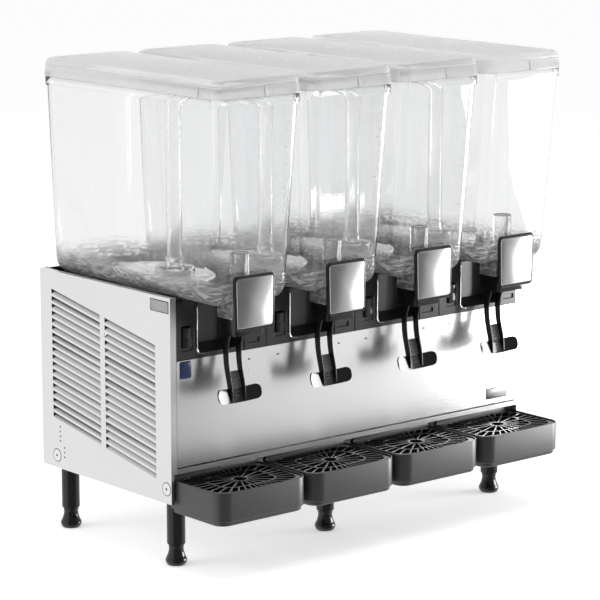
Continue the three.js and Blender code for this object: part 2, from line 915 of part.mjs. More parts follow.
function radialSlots(count, innerAt, outerAt) {
  const step = fullTurn / count;
  return repeat(count, (i) => {
    const from = i * step;
    const to = from + step;
    return [
      onRing(from, 1, innerAt),
      onRing(from, 1, outerAt),
      onRing(to, -1, outerAt),
      onRing(to, -1, innerAt),
    ];
  });
}

function makeGrille() {
  const rect = shrunk(trayRect, trayWall + fitGap);
  const hubY = (rect.front + rect.back) / 2;
  const outerX = rect.half - grilleFrame;
  const outerY = (rect.back - rect.front) / 2 - grilleFrame;
  const hubAt = () => grilleHubRadius + grilleHubWall;
  const midInner = (angle) => ringRadius(angle, grilleMidHalfX, grilleMidHalfY);
  const midOuter = (angle) => midInner(angle) + grilleRingWidth;
  const frameAt = (angle) => ringRadius(angle, outerX, outerY);
  const holes = [
    arc(0, 0, grilleHubRadius, 0, fullTurn, smallSteps).slice(1),
    ...radialSlots(grilleBarCount / 2, hubAt, midInner),
    ...radialSlots(grilleBarCount, midOuter, frameAt),
  ];
  const shape = shapeOf(roundRect(rect));
  shape.holes = holes.map((hole) => shapeOf(hole.map(([x, y]) => [x, y + hubY])));
  const plate = new THREE.ExtrudeGeometry(shape, { depth: grilleThickness, bevelEnabled: false });
  return solid(plate.translate(0, 0, grilleBottom));
}

// Rocker: a V-faced paddle on two pins, drawn at rest with its lower half flush

function makeRocker() {
  const half = rockerHeight / 2;
  const valley = 0;
  const ends = -half * Math.tan(rockerTilt);
  const back = rockerDepth;
  const paddle = prismX([
    [valley, 0],
    [ends, half],
    [back, half * rockerTaperShare],
    [back, -half * rockerTaperShare],
    [ends, -half],
  ], -rockerWidth / 2, rockerWidth / 2);
  const reach = rockerWidth / 2 + rockerPinReach;
  const pins = barX(-reach, reach, rockerPivotDepth, 0, rockerPinRadius, pinSteps);
  return join(paddle, pins)
    .translate([0, -rockerPivotDepth, 0])
    .rotate([THREE.MathUtils.radToDeg(rockerTilt), 0, 0])
    .translate([rockerOffset, cabinetFront + rockerPivotDepth, rockerCentreZ]);
}

// Deck and fascia: one moulding with a valve bay, a switch well and a pull slot for each module

function bayOutline(inset, top) {
  const half = bayHalf - inset;
  const low = fasciaBottom + bayFloorHeight + inset;
  const radius = Math.max(beadRadius - inset, leastRadius);
  return [
    ...arc(radius - half, low + radius, radius, 2 * quarterTurn, 3 * quarterTurn, cornerSteps),
    ...arc(half - radius, low + radius, radius, 3 * quarterTurn, 4 * quarterTurn, cornerSteps),
    [half, top],
    [-half, top],
  ];
}

function bayTools() {
  const top = deckUnderside - fitGap;
  const floor = fasciaBottom + bayFloorHeight;
  const back = cabinetFront + bayDepth;
  const profile = (inset, front) => [
    [front, floor - inset],
    [back + inset, floor + bayFloorRise - inset],
    [back + inset, top + inset],
    [front, top + inset],
  ];
  const rear = cabinetFront + fasciaWall / 2;
  const shell = prismX(profile(bayWall, rear), -bayHalf - bayWall, bayHalf + bayWall);
  const hollow = prismX(profile(0, cabinetFront - beadHeight - overrun), -bayHalf, bayHalf);
  const mouth = prismY(bayOutline(0, top), cabinetFront - beadHeight - overrun, back);
  const bead = prismY(bayOutline(-beadWidth, top), cabinetFront - beadHeight, cabinetFront + fasciaWall / 2);
  return { add: [shell, bead], remove: [hollow.intersect(mouth)] };
}

function rockerTools() {
  const wellHalfX = rockerWidth / 2 + slideGap;
  const wellHalfZ = rockerHeight / 2 + slideGap;
  const wellBack = cabinetFront + rockerWellDepth;
  const box = (x, front, back, z) => block(
    [rockerOffset - x, front, rockerCentreZ - z],
    [rockerOffset + x, back, rockerCentreZ + z],
  );
  const well = box(
    wellHalfX + rockerWellWall,
    cabinetFront + fasciaWall / 2,
    wellBack + rockerWellWall,
    wellHalfZ + rockerWellWall,
  );
  const recess = box(
    rockerRecessWidth / 2, cabinetFront - overrun, cabinetFront + rockerRecessDepth, rockerRecessHeight / 2,
  );
  const hollow = box(wellHalfX, cabinetFront - overrun, wellBack, wellHalfZ);
  const eye = rockerWidth / 2 + rockerPinReach + fitGap;
  const pinY = cabinetFront + rockerPivotDepth;
  const eyeRadius = rockerPinRadius + fitGap;
  const eyes = barX(rockerOffset - eye, rockerOffset + eye, pinY, rockerCentreZ, eyeRadius, pinSteps);
  return { add: [well], remove: [recess, hollow, eyes] };
}

function tabTools() {
  const low = fasciaBottom + fitGap;
  const middle = (tabLeft + tabRight) / 2;
  const plate = block(
    [tabLeft, cabinetFront - tabLift, low],
    [tabRight, cabinetFront + fasciaWall / 2, low + tabHeight],
  );
  const slot = block(
    [middle - tabSlotWidth / 2, cabinetFront - tabLift - overrun, low + tabSlotRise],
    [middle + tabSlotWidth / 2, cabinetFront - tabLift + tabSlotDepth, low + tabSlotRise + tabSlotHeight],
  );
  return { add: [plate], remove: [slot] };
}

function makeDeck() {
  const back = cabinetBack - sheet - fitGap;
  let deck = prismX([
    [cabinetFront, fasciaBottom + fitGap],
    [cabinetFront + fasciaWall, fasciaBottom + fitGap],
    [cabinetFront + fasciaWall, deckUnderside],
    [back, deckUnderside],
    [back, deckTop + deckRimHeight],
    [back - deckRimWall, deckTop + deckRimHeight],
    [back - deckRimWall, deckTop],
    [cabinetFront, deckTop],
  ], -openingHalf, openingHalf);
  const centres = repeat(moduleCount, moduleCentre);
  const padLow = deckTop - deckWall / 2;
  const tools = [bayTools(), rockerTools(), tabTools()];
  centres.forEach((x) => {
    tools.forEach((tool) => {
      deck = join(deck, ...tool.add.map((body) => body.translate([x, 0, 0])));
    });
    [-1, 1].forEach((side) => {
      const middle = x + side * bowlPadOffset;
      deck = deck.add(block(
        [middle - bowlPadWidth / 2, cabinetFront + bowlPadMargin, padLow],
        [middle + bowlPadWidth / 2, cabinetBack - bowlPadMargin, deckTop + bowlFootGap],
      ));
    });
  });
  centres.forEach((x) => {
    tools.forEach((tool) => {
      deck = cut(deck, ...tool.remove.map((body) => body.translate([x, 0, 0])));
    });
  });
  const seams = centres.slice(1).map((x) => block(
    [x - modulePitch / 2 - seamWidth / 2, cabinetFront - overrun, fasciaBottom],
    [x - modulePitch / 2 + seamWidth / 2, cabinetFront + seamDepth, deckTop + overrun],
  ));
  return cut(deck, ...seams);
}

// Side panel: folded sheet with two columns of slanted louvres pressed inwards.
// A blade is joined to the land below it, leans in as it rises and is open at its top and ends.

function louvreQuad(y, z, quad) {
  return quad.map(([x, rise]) => [cabinetHalf + x, y, z + rise]);
}

function louvreParts() {
  const inside = -sheet - overrun;
  const slot = [[overrun, 0], [inside, 0], [inside, louvreOpening], [overrun, louvreOpening]];
  const blade = [[0, 0], [-louvreDepth, louvreRise], [-louvreDepth, louvreRise - louvreBlade], [-sheet, 0]];
  const backY = cabinetBack - louvreBackMargin;
  const top = cabinetTop - louvreTopMargin - louvreOpening;
  const columns = [backY, backY - louvreColumnWidth - louvreColumnGap];
  const slots = [];
  const blades = [];
  columns.forEach((rear) => {
    const front = rear - louvreColumnWidth;
    repeat(louvreCount, (i) => {
      const rearZ = top - (backY - rear) * louvreSlope - i * louvrePitch;
      const frontZ = rearZ - louvreColumnWidth * louvreSlope;
      const between = (quad) => loft([louvreQuad(rear, rearZ, quad), louvreQuad(front, frontZ, quad)]);
      slots.push(between(slot));
      blades.push(between(blade));
    });
  });
  return { slots, blades };
}

function makeSidePanel() {
  const inner = cabinetHalf - sheet;
  const wall = block([inner, cabinetFront, legHeight], [cabinetHalf, cabinetBack, cabinetTop]);
  const frontFlange = block(
    [cabinetHalf - flangeWidth, cabinetFront, railBottom],
    [cabinetHalf, cabinetFront + sheet, cabinetTop],
  );
  const lowerFlange = block(
    [cabinetHalf - lowerFlangeWidth, cabinetFront, legHeight],
    [cabinetHalf, cabinetFront + sheet, railBottom + overrun],
  );
  const backFlange = block(
    [cabinetHalf - backFlangeWidth, cabinetBack - sheet, legHeight],
    [cabinetHalf, cabinetBack, cabinetTop],
  );
  const topFlange = block(
    [cabinetHalf - topFlangeWidth, cabinetFront, cabinetTop - sheet],
    [cabinetHalf, cabinetBack, cabinetTop],
  );
  const { slots, blades } = louvreParts();
  return join(cut(join(wall, frontFlange, lowerFlange, backFlange, topFlange), ...slots), ...blades);
}

function mirrored(body) {
  return body.mirror([1, 0, 0]);
}

// Front panel: a flat sheet with folded edges at its top and bottom

function makeFrontPanel() {
  const top = fasciaBottom;
  const fold = cabinetFront + railDepth;
  return prismX([
    [cabinetFront, frontPanelBottom],
    [fold, frontPanelBottom],
    [fold, frontPanelBottom + sheet],
    [cabinetFront + sheet, frontPanelBottom + sheet],
    [cabinetFront + sheet, top - sheet],
    [fold, top - sheet],
    [fold, top],
    [cabinetFront, top],
  ], -openingHalf, openingHalf);
}

// Rear panel: flat sheet with two banks of air slots and the cord gland

function makeRearPanel() {
  const half = cabinetHalf - backFlangeWidth - fitGap;
  const low = legHeight + panBackHeight + fitGap;
  const high = deckUnderside - fitGap;
  let panel = block([-half, cabinetBack - sheet, low], [half, cabinetBack, high]);
  const bankCentre = half / 2;
  const slots = [-bankCentre, bankCentre].flatMap((x) => repeat(rearSlotCount, (i) => block(
    [x - rearSlotLength / 2, cabinetBack - sheet - overrun, low + rearSlotBase + i * rearSlotPitch],
    [x + rearSlotLength / 2, cabinetBack + overrun, low + rearSlotBase + i * rearSlotPitch + rearSlotHeight],
  )));
  panel = cut(panel, ...slots);
  const place = [glandInset - half, cabinetBack - glandLength, low + glandRise];
  const gland = turned([
    [glandBore, -glandLength],
    [glandRadius, -glandLength],
    [glandRadius, glandLength],
    [glandBore, glandLength],
    [glandBore, -glandLength],
  ], smallSteps).rotate([rightAngle, 0, 0]).translate(place);
  const bore = barZ(0, 0, -glandLength - overrun, glandLength + overrun, glandBore, smallSteps);
  const hole = bore.rotate([rightAngle, 0, 0]).translate(place);
  return cut(panel, hole).add(gland);
}

// Chassis: folded pan with a sill for the trays, corner posts, front rail and leg tubes

function legPlaces() {
  const x = cabinetHalf - legInset;
  const front = cabinetFront + legInset;
  const back = cabinetBack - legBackInset;
  return [-x, middleLegOffset, x].flatMap((place) => [[place, front], [place, back]]);
}

function makeChassis() {
  const backFace = cabinetBack - sheet - fitGap;
  const pan = prismX([
    [sillFront, legHeight],
    [backFace, legHeight],
    [backFace, legHeight + panBackHeight],
    [backFace - panSheet, legHeight + panBackHeight],
    [backFace - panSheet, panTop],
    [sillFront + panSheet, panTop],
    [sillFront + panSheet, sillTop],
    [sillFront, sillTop],
  ], -panHalf, panHalf);
  const shelfFront = cabinetFront + sheet + fitGap;
  const postTop = deckUnderside - fitGap;
  const posts = [-1, 1].flatMap((side) => {
    const web = [side * panHalf, side * (panHalf - postSheet)].sort((a, b) => a - b);
    const leaf = [side * panHalf, side * (panHalf - postWidth)].sort((a, b) => a - b);
    const postBack = backFace - fitGap;
    const shelfBack = shelfFront + postWidth;
    return [
      block([web[0], shelfFront, railBottom], [web[1], shelfBack, postTop]),
      block([web[0], sillFront, legHeight], [web[1], sillFront + postWidth, railBottom + overrun]),
      block([web[0], postBack - postWidth, legHeight], [web[1], postBack, postTop]),
      block([leaf[0], shelfBack - postSheet, railTop], [leaf[1], shelfBack, postTop]),
      block(
        [leaf[0], postBack - postWidth, legHeight],
        [leaf[1], postBack - postWidth + postSheet, postTop],
      ),
    ];
  });
  const rail = prismX([
    [cabinetFront, railBottom],
    [cabinetFront + railDepth, railBottom],
    [cabinetFront + railDepth, railBottom + panSheet],
    [cabinetFront + panSheet, railBottom + panSheet],
    [cabinetFront + panSheet, railTop - panSheet],
    [cabinetFront + railDepth, railTop - panSheet],
    [cabinetFront + railDepth, railTop],
    [cabinetFront, railTop],
  ], -openingHalf, openingHalf);
  const ties = [-1, 1].map((side) => {
    const reach = [side * (openingHalf - postWidth), side * panHalf].sort((a, b) => a - b);
    return block(
      [reach[0], cabinetFront + sheet + fitGap, railBottom],
      [reach[1], cabinetFront + railDepth, railTop],
    );
  });
  const legs = legPlaces().map(([x, y]) => (
    barZ(x, y, footHeight + fitGap, legHeight + panSheet / 2, legTubeRadius, smallSteps)
  ));
  const bores = legPlaces().map(([x, y]) => (
    barZ(x, y, footHeight - overrun, footHeight + fitGap + legBoreDepth, legBoreRadius, smallSteps)
  ));
  return cut(join(pan, rail, ...ties, ...posts, ...legs), ...bores);
}

// Foot: a screw-in bullet foot whose stem runs up the leg's bore

function makeFoot(x, y) {
  return turned([
    [0, 0],
    [footPadRadius, 0],
    [footBulgeRadius, footBulgeHeight - footCollarHeight / 2],
    [footBulgeRadius, footBulgeHeight + footCollarHeight / 2],
    [footNeckRadius, (footHeight + footBulgeHeight) / 2],
    [legTubeRadius, footHeight],
    [legBoreRadius - fitGap, footHeight],
    [legBoreRadius - fitGap, footHeight + footStemLength],
    [0, footHeight + footStemLength],
  ], smallSteps).translate([x, y, 0]);
}

// Refrigeration

function makeCompressor() {
  const base = panTop + fitGap;
  const waist = base + compressorHeight / 2;
  const shoulder = compressorRadius / 2;
  const can = turned([
    [0, base],
    [compressorRadius - compressorFlange, base],
    [compressorRadius, base + shoulder / 2],
    [compressorRadius, waist],
    [compressorRadius + compressorFoot, waist],
    [compressorRadius + compressorFoot, waist + compressorFoot],
    [compressorRadius, waist + compressorFoot],
    [compressorRadius, base + compressorHeight - shoulder],
    [shoulder, base + compressorHeight],
    [0, base + compressorHeight],
  ], roundSteps);
  const spread = compressorRadius + compressorFlange;
  const plate = block([-spread, -spread / 2, base], [spread, spread / 2, base + compressorFoot]);
  return can.add(plate).translate([compressorCentreX, cabinetBack - compressorBackInset, 0]);
}

const condenserOuter = -panHalf + condenserSideGap;
const condenserInner = condenserOuter + condenserWidth;
const condenserBase = panTop + fitGap;
const coolingY = (cabinetBack + sillFront) / 2;
const fanCentreZ = condenserBase + condenserHeight / 2;
const shroudNear = condenserInner + fitGap;
const shroudFar = shroudNear + shroudWall;
const shroudEnd = shroudFar + shroudRing;
const fanLow = shroudFar + slideGap;
const fanHigh = shroudEnd - shroudWall - slideGap;

function makeCondenser() {
  const low = [condenserOuter, coolingY - condenserLength / 2, condenserBase];
  const high = [condenserInner, coolingY + condenserLength / 2, condenserBase + condenserHeight];
  const pitch = condenserLength / condenserFinCount;
  const grooves = repeat(condenserFinCount - 1, (i) => {
    const middle = low[1] + (i + 1) * pitch;
    return block(
      [low[0] - overrun, middle - condenserFin, low[2] + condenserGroove],
      [low[0] + condenserGroove, middle + condenserFin, high[2] - condenserGroove],
    );
  });
  return cut(block(low, high), ...grooves);
}

// Shroud: plate and ring round the fan, with an arm across that holds its motor on the far side

function makeShroud() {
  const plate = block(
    [shroudNear, coolingY - condenserLength / 2, condenserBase],
    [shroudFar, coolingY + condenserLength / 2, condenserBase + condenserHeight],
  );
  const along = (low, high, radius, steps) => barX(low, high, coolingY, fanCentreZ, radius, steps);
  const ring = along(shroudFar - shroudWall / 2, shroudEnd, shroudThroat + shroudWall, roundSteps);
  const throat = along(shroudNear - overrun, shroudEnd + overrun, shroudThroat, roundSteps);
  const arm = block(
    [shroudEnd - shroudWall, coolingY - shroudThroat - shroudWall / 2, fanCentreZ - shroudArm / 2],
    [shroudEnd + shroudWall, coolingY + shroudThroat + shroudWall / 2, fanCentreZ + shroudArm / 2],
  );
  const motor = along(shroudEnd, shroudEnd + motorLength, motorRadius, smallSteps);
  const shaft = along(fanLow, shroudEnd, pinRadius, smallSteps);
  return join(cut(join(plate, ring), throat), arm, motor, shaft);
}

function makeFan() {
  const hub = barX(fanLow, fanHigh, 0, 0, fanHubRadius, smallSteps);
  const blades = repeat(fanBladeCount, (i) => {
    const blade = block(
      [-fanBlade / 2, -fanBladeWidth / 2, fanHubRadius - fanBlade],
      [fanBlade / 2, fanBladeWidth / 2, fanRadius],
    );
    return blade
      .rotate([0, 0, THREE.MathUtils.radToDeg(fanPitch)])
      .translate([(fanLow + fanHigh) / 2, 0, 0])
      .rotate([i * fullCircle / fanBladeCount, 0, 0]);
  });
  const bore = barX(fanLow - overrun, fanHigh + overrun, 0, 0, pinRadius + fitGap, smallSteps);
  return cut(join(hub, ...blades), bore).translate([0, coolingY, fanCentreZ]);
}

// Assembly

function moduleCentre(index) {
  return (index - (moduleCount - 1) / 2) * modulePitch;
}

const modulePieces = [
  ['bowl', makeBowl(), clear],
  ['lid', makeLid(), clear],
  ['evaporator', makeEvaporator(), steel],
  ['spray_tube', makeSprayTube(), clear],
  ['impeller', makeImpeller(), black],
  ['valve_housing', makeValveHousing(), black],
  ['plunger', makePlunger(), clear],
  ['push_lever', makeLever(), black],
  ['drip_tray', makeTray(), trayGrey],
  ['drip_grille', makeGrille(), black],
  ['rocker', makeRocker(), black],
];

const machine = new THREE.Group();
machine.position.y = centreShift;

const cabinet = new THREE.Group();
const sidePanel = makeSidePanel();
cabinet.add(
  piece('chassis', makeChassis(), zinc),
  piece('side_panel_left', mirrored(sidePanel), steel),
  piece('side_panel_right', sidePanel, steel),
  piece('front_panel', makeFrontPanel(), steel),
  piece('rear_panel', makeRearPanel(), zinc),
  piece('deck_fascia', makeDeck(), black),
  piece('compressor', makeCompressor(), black),
  piece('condenser', makeCondenser(), copper),
  piece('fan_shroud', makeShroud(), zinc),
  piece('condenser_fan', makeFan(), black),
);
legPlaces().forEach(([x, y], index) => {
  cabinet.add(piece(`foot_${index + 1}`, makeFoot(x, y), black));
});
machine.add(cabinet);

repeat(moduleCount, (index) => {
  const group = new THREE.Group();
  group.position.x = moduleCentre(index);
  modulePieces.forEach(([name, body, material]) => {
    group.add(piece(`${name}_${index + 1}`, body, material));
  });
  machine.add(group);
});

const dispenser = new THREE.Group();
dispenser.add(machine);

export default dispenser;
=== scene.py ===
# %% [markdown]
# # A cold drink dispenser in a plain studio
# The machine stands on a counter: a steel cabinet on black legs, four clear bowls on top, and for each
# bowl a valve, a push lever and a drip tray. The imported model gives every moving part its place, so this
# script dresses that frame: it keeps the solids that already look right and replaces those that are
# looked at closely with finer meshes. Everything is in metres, +Z up, and the front faces -Y.

# %% The frame
import math
import bmesh
import bpy
from mathutils import Matrix, Vector


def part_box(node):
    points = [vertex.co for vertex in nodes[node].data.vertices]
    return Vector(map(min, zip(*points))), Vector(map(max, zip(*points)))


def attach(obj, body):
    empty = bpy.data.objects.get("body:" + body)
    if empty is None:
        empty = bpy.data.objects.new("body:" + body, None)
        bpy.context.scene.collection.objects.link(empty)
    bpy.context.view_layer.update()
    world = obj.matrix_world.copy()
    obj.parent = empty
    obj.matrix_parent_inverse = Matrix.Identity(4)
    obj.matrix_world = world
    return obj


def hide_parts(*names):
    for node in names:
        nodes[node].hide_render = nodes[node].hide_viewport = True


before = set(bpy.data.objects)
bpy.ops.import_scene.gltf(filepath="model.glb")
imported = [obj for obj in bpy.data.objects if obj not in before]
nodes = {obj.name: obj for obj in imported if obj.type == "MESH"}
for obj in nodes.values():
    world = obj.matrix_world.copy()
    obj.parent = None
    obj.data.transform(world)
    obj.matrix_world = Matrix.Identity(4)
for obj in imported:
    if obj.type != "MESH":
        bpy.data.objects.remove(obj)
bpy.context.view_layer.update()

# %% [markdown]
# ## Places that the frame gives
# The four modules are alike, so each finer mesh is drawn once about x = 0 and placed four times. The
# middle of each module, the cabinet's front face and the deck's top are read from the frame's own boxes,
# so that a piece sits on what carries it.

# %% Places
MM = 0.001
modules = (1, 2, 3, 4)
centre = {k: sum(c.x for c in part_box(f"valve_housing_{k}")) / 2 for k in modules}
panel_low, panel_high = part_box("side_panel_left")
front_y, back_y = panel_low.y, panel_high.y
left_x = panel_low.x
leg_z, cabinet_z = panel_low.z, panel_high.z
print("modules at x =", [round(x, 4) for x in centre.values()])
print("cabinet front, back, foot and top:", [round(v, 4) for v in (front_y, back_y, leg_z, cabinet_z)])

# %% [markdown]
# ## The camera
# The photograph is taken with a long lens from the left and a little above: the row of bowls recedes to
# the right, and verticals stay almost parallel. A long lens far away gives that flat look. A strong
# vertical lens shift would keep the verticals exactly parallel, but then every other view of the model
# would miss it, so the camera is tilted down a little instead and placed where all the corners of the
# cabinet, bowls and trays fall nearest to their places in the picture.

# %% The camera
def linked(name, data):
    """A new object in the scene."""
    obj = bpy.data.objects.new(name, data)
    bpy.context.scene.collection.objects.link(obj)
    return obj


FOCAL_PIXELS, FRAME_PIXELS = 2714.59, 600
CAMERA_PLACE = (-3.01166, -3.55606, 1.29931)
CAMERA_TILT, CAMERA_HEADING = 78.9384, -40.1505
camera_data = bpy.data.cameras.new("camera")
camera_data.sensor_width = 36.0
camera_data.lens = FOCAL_PIXELS / FRAME_PIXELS * camera_data.sensor_width
camera_data.clip_end = 60.0
camera = linked("camera", camera_data)
camera.location = CAMERA_PLACE
camera.rotation_euler = (math.radians(CAMERA_TILT), 0.0, math.radians(CAMERA_HEADING))
bpy.context.scene.camera = camera
print("lens", round(camera_data.lens, 1), "mm")

# %% [markdown]
# ## Studio light
# The picture has a pure white ground. If more light made it white, pale steel would burn out, so the
# ground is white only for rays that the camera sends, directly or through gloss and clear plastic. For
# all other rays the world is a plain soft light. Steel and black plastic need something to reflect: the
# side of the studio behind the camera and the ceiling are darker, and one soft box near the right front is
# bright enough to show in every rounded edge and to lighten the black parts from left to right.

# %% Helpers for shader nodes
def shader_tree(owner):
    """The empty node tree of a material or world."""
    owner.use_nodes = True
    owner.node_tree.nodes.clear()
    return owner.node_tree


def new_material(name):
    material = bpy.data.materials.new(name)
    return material, shader_tree(material)


def feed(tree, target, source):
    """Links an output to an input, or gives the input a value."""
    if isinstance(source, bpy.types.NodeSocket):
        tree.links.new(source, target)
    else:
        target.default_value = source


def add(tree, kind, **values):
    """A node with its properties and inputs set by name."""
    node = tree.nodes.new(kind)
    for key, value in values.items():
        name = key.replace("_", " ")
        if name in node.inputs:
            feed(tree, node.inputs[name], value)
        else:
            setattr(node, key, value)
    return node


def made(tree, kind, *sources, give=0, **values):
    """One output of a new node, whose first inputs are fed in their own order."""
    node = add(tree, kind, **values)
    for target, source in zip(node.inputs, sources):
        feed(tree, target, source)
    return node.outputs[give]


def calc(tree, operation, first, second):
    return made(tree, "ShaderNodeMath", first, second, operation=operation)


def eased(tree, source, start, end, first, last):
    """A value that eases from first to last while the source goes from start to end."""
    return made(tree, "ShaderNodeMapRange", source, start, end, first, last, interpolation_type="SMOOTHSTEP")


def show(tree, shader, kind="ShaderNodeOutputMaterial"):
    """Leads a shader to the tree's output."""
    add(tree, kind, Surface=shader)


# %% The world
WHITE = (1, 1, 1, 1)
BEHIND_CAMERA = (-0.309, -0.951, 0.0)
SOFT_STRENGTH = 0.60
scene = bpy.context.scene
scene.view_settings.view_transform = "Standard"
world = bpy.data.worlds.new("studio")
scene.world = world
tree = shader_tree(world)
path = add(tree, "ShaderNodeLightPath").outputs
way = add(tree, "ShaderNodeTexCoord").outputs["Generated"]
toward_front = made(tree, "ShaderNodeVectorMath", way, BEHIND_CAMERA, give="Value", operation="DOT_PRODUCT")
height = made(tree, "ShaderNodeSeparateXYZ", way, give="Z")
dark_side = eased(tree, toward_front, 0.44, 0.62, 0.98, 0.24)
ceiling = eased(tree, height, 0.35, 0.85, 1.0, 0.45)
gloss_view = made(tree, "ShaderNodeBackground", WHITE, calc(tree, "MULTIPLY", dark_side, ceiling))
soft_light = made(tree, "ShaderNodeBackground", WHITE, SOFT_STRENGTH)
white_view = made(tree, "ShaderNodeBackground", WHITE, 1.0)
seen = calc(tree, "MAXIMUM", path["Is Camera Ray"], path["Is Transmission Ray"])
by_gloss = made(tree, "ShaderNodeMixShader", path["Is Glossy Ray"], soft_light, gloss_view)
show(tree, made(tree, "ShaderNodeMixShader", seen, by_gloss, white_view), "ShaderNodeOutputWorld")
print("world nodes:", len(tree.nodes))

# %% Soft boxes
def aim(obj, place, target):
    """Puts a lamp or card at a place so that it faces the target."""
    obj.location = place
    obj.rotation_euler = (Vector(target) - Vector(place)).to_track_quat("-Z", "Y").to_euler()


def soft_box(name, place, target, size, power, mirrored=False):
    """A rectangular lamp that faces the target; only a mirrored one shows in glossy surfaces."""
    data = bpy.data.lights.new(name, "AREA")
    data.shape = "RECTANGLE"
    data.size, data.size_y = size
    data.energy = power
    lamp = linked(name, data)
    aim(lamp, place, target)
    lamp.visible_glossy = mirrored
    return lamp


soft_box("key_right", (1.60, -0.85, 0.30), (0.15, -0.15, 0.25), (0.9, 0.60), 24.0, mirrored=True)
soft_box("fill_left", (-2.6, 1.1, 1.6), (0.0, 0.0, 0.5), (1.8, 1.8), 26.0)
soft_box("top", (-0.2, -0.6, 3.0), (0.0, 0.0, 0.4), (2.2, 1.6), 24.0)

# %% [markdown]
# ## A reflector card
# Steel is as bright as what it mirrors. A white card to the right front shows only in glossy surfaces: its
# left edge falls on the first module, so the front panel and the badges lighten from left to right.

# %% The card
def sheet(name, width, height):
    """A flat rectangle about the origin that belongs to the studio."""
    corners = [(x * width / 2, y * height / 2, 0) for x, y in ((-1, -1), (1, -1), (1, 1), (-1, 1))]
    mesh = bpy.data.meshes.new(name)
    mesh.from_pydata(corners, [], [(0, 1, 2, 3)])
    obj = linked(name, mesh)
    return obj


def reflector(name, place, target, size, strength):
    """A glowing card that only glossy rays see."""
    card = sheet(name, *size)
    aim(card, place, target)
    material, tree = new_material(name)
    show(tree, made(tree, "ShaderNodeEmission", WHITE, strength))
    material.cycles.emission_sampling = "NONE"
    card.data.materials.append(material)
    for ray in ("camera", "diffuse", "transmission", "shadow", "volume_scatter"):
        setattr(card, f"visible_{ray}", False)


reflector("reflector_card", (1.80, -1.38, 0.30), (0.0, -0.15, 0.30), (1.9, 3.2), 0.84)
print("reflector card placed")

# %% [markdown]
# ## The floor
# A pale floor carries only the shadow. Its colour reaches white for the camera, and the shadow that the
# machine throws is kept by mixing a diffuse floor with the white ground.

# %% The floor
FLOOR_WIDTH = 28.0
FLOOR_TONE, FLOOR_GLOW = 0.92, 0.42


def make_floor():
    """A wide plane, white to the camera but for the soft shadow under the machine."""
    floor = sheet("floor", FLOOR_WIDTH, FLOOR_WIDTH)
    material, tree = new_material("pale_floor")
    diffuse = made(tree, "ShaderNodeBsdfDiffuse", (FLOOR_TONE, FLOOR_TONE, FLOOR_TONE, 1))
    lit = made(tree, "ShaderNodeAddShader", diffuse, made(tree, "ShaderNodeEmission", WHITE, FLOOR_GLOW))
    white = made(tree, "ShaderNodeEmission", WHITE, 1.0)
    path = add(tree, "ShaderNodeLightPath").outputs
    mirrored = calc(tree, "MAXIMUM", path["Is Glossy Ray"], path["Is Transmission Ray"])
    show(tree, made(tree, "ShaderNodeMixShader", mirrored, lit, white))
    floor.data.materials.append(material)
    floor.visible_glossy = False
    return floor


floor = make_floor()
print("floor width:", floor.dimensions.x)

# %% [markdown]
# ## Brushed stainless steel
# The side and front panels are thin sheet with a fine grain that runs lengthwise. A grain can be painted
# as an image or made from noise stretched along one axis. Stretched noise is used here: it drives a very
# small bump and the roughness, so that reflections smear across the grain, and it works from any side.

# %% Helpers for procedural surfaces
def object_noise(tree, scale, detail, stretch=(1, 1, 1), distortion=0.0):
    """Noise in object space, in metres, stretched by a scale for each axis."""
    where = add(tree, "ShaderNodeTexCoord").outputs["Object"]
    stretched = made(tree, "ShaderNodeMapping", where, Scale=stretch)
    return made(tree, "ShaderNodeTexNoise", stretched, give="Fac",
                Scale=scale, Detail=detail, Distortion=distortion)


def spread(tree, source, low, high):
    """Maps a 0 to 1 value to the range from low to high."""
    return made(tree, "ShaderNodeMapRange", source, 0.0, 1.0, low, high)


def mixed(tree, share, first, second):
    """A colour between two, each a tone or an output."""
    node = add(tree, "ShaderNodeMix", data_type="RGBA")
    for index, source in zip((0, 6, 7), (share, first, second)):
        feed(tree, node.inputs[index], source)
    return node.outputs[2]


def mottled(tree, source, dark, light):
    """A colour that varies between dark and light with a 0 to 1 value."""
    return mixed(tree, source, (*dark, 1), (*light, 1))


def bump(tree, height, distance):
    """A normal bumped by a height."""
    return add(tree, "ShaderNodeBump", Strength=1.0, Height=height, Distance=distance).outputs["Normal"]


def principled(tree, **values):
    """A Principled BSDF that is led to the output."""
    shader = add(tree, "ShaderNodeBsdfPrincipled", **values)
    show(tree, shader.outputs[0])
    return shader


def node_in(tree, kind):
    return next(node for node in tree.nodes if node.bl_idname == kind)


def source_of(shader, name):
    """The output that feeds one of a shader's inputs."""
    return shader.inputs[name].links[0].from_socket


# %% Brushed steel for each direction of grain
# Painted shade: the colour that a steel is darkened to in its creases.
PAINTED_CREASE_SHADE = (0.02, 0.02, 0.022, 1)


def brushed_steel(name, grain, tone, low, high, stretch=0.0, relief=0.000003):
    """Sheet steel whose grain runs along one axis; low and high bound its roughness."""
    material, tree = new_material(name)
    across = [1.0 if axis == grain else 240.0 for axis in range(3)]
    streak = object_noise(tree, 6.0, 2.0, across)
    patch = object_noise(tree, 3.0, 2.0)
    dark, light = [v * 0.96 for v in tone], [min(v * 1.05, 1.0) for v in tone]
    principled(
        tree,
        Metallic=1.0,
        Anisotropic=stretch,
        Anisotropic_Rotation=0.25,
        Base_Color=mottled(tree, patch, dark, light),
        Roughness=spread(tree, streak, low, high),
        Normal=bump(tree, streak, relief),
    )
    return material


def paint_crease_shade(material, distance, power):
    """Paints shade into a steel's colour in its creases, where its neighbour's reflection is dark."""
    tree = material.node_tree
    shader = node_in(tree, "ShaderNodeBsdfPrincipled")
    crease_shade = add(tree, "ShaderNodeAmbientOcclusion", samples=4, Distance=distance).outputs["AO"]
    tone = mixed(tree, calc(tree, "POWER", crease_shade, power), PAINTED_CREASE_SHADE, source_of(shader, "Base Color"))
    feed(tree, shader.inputs["Base Color"], tone)


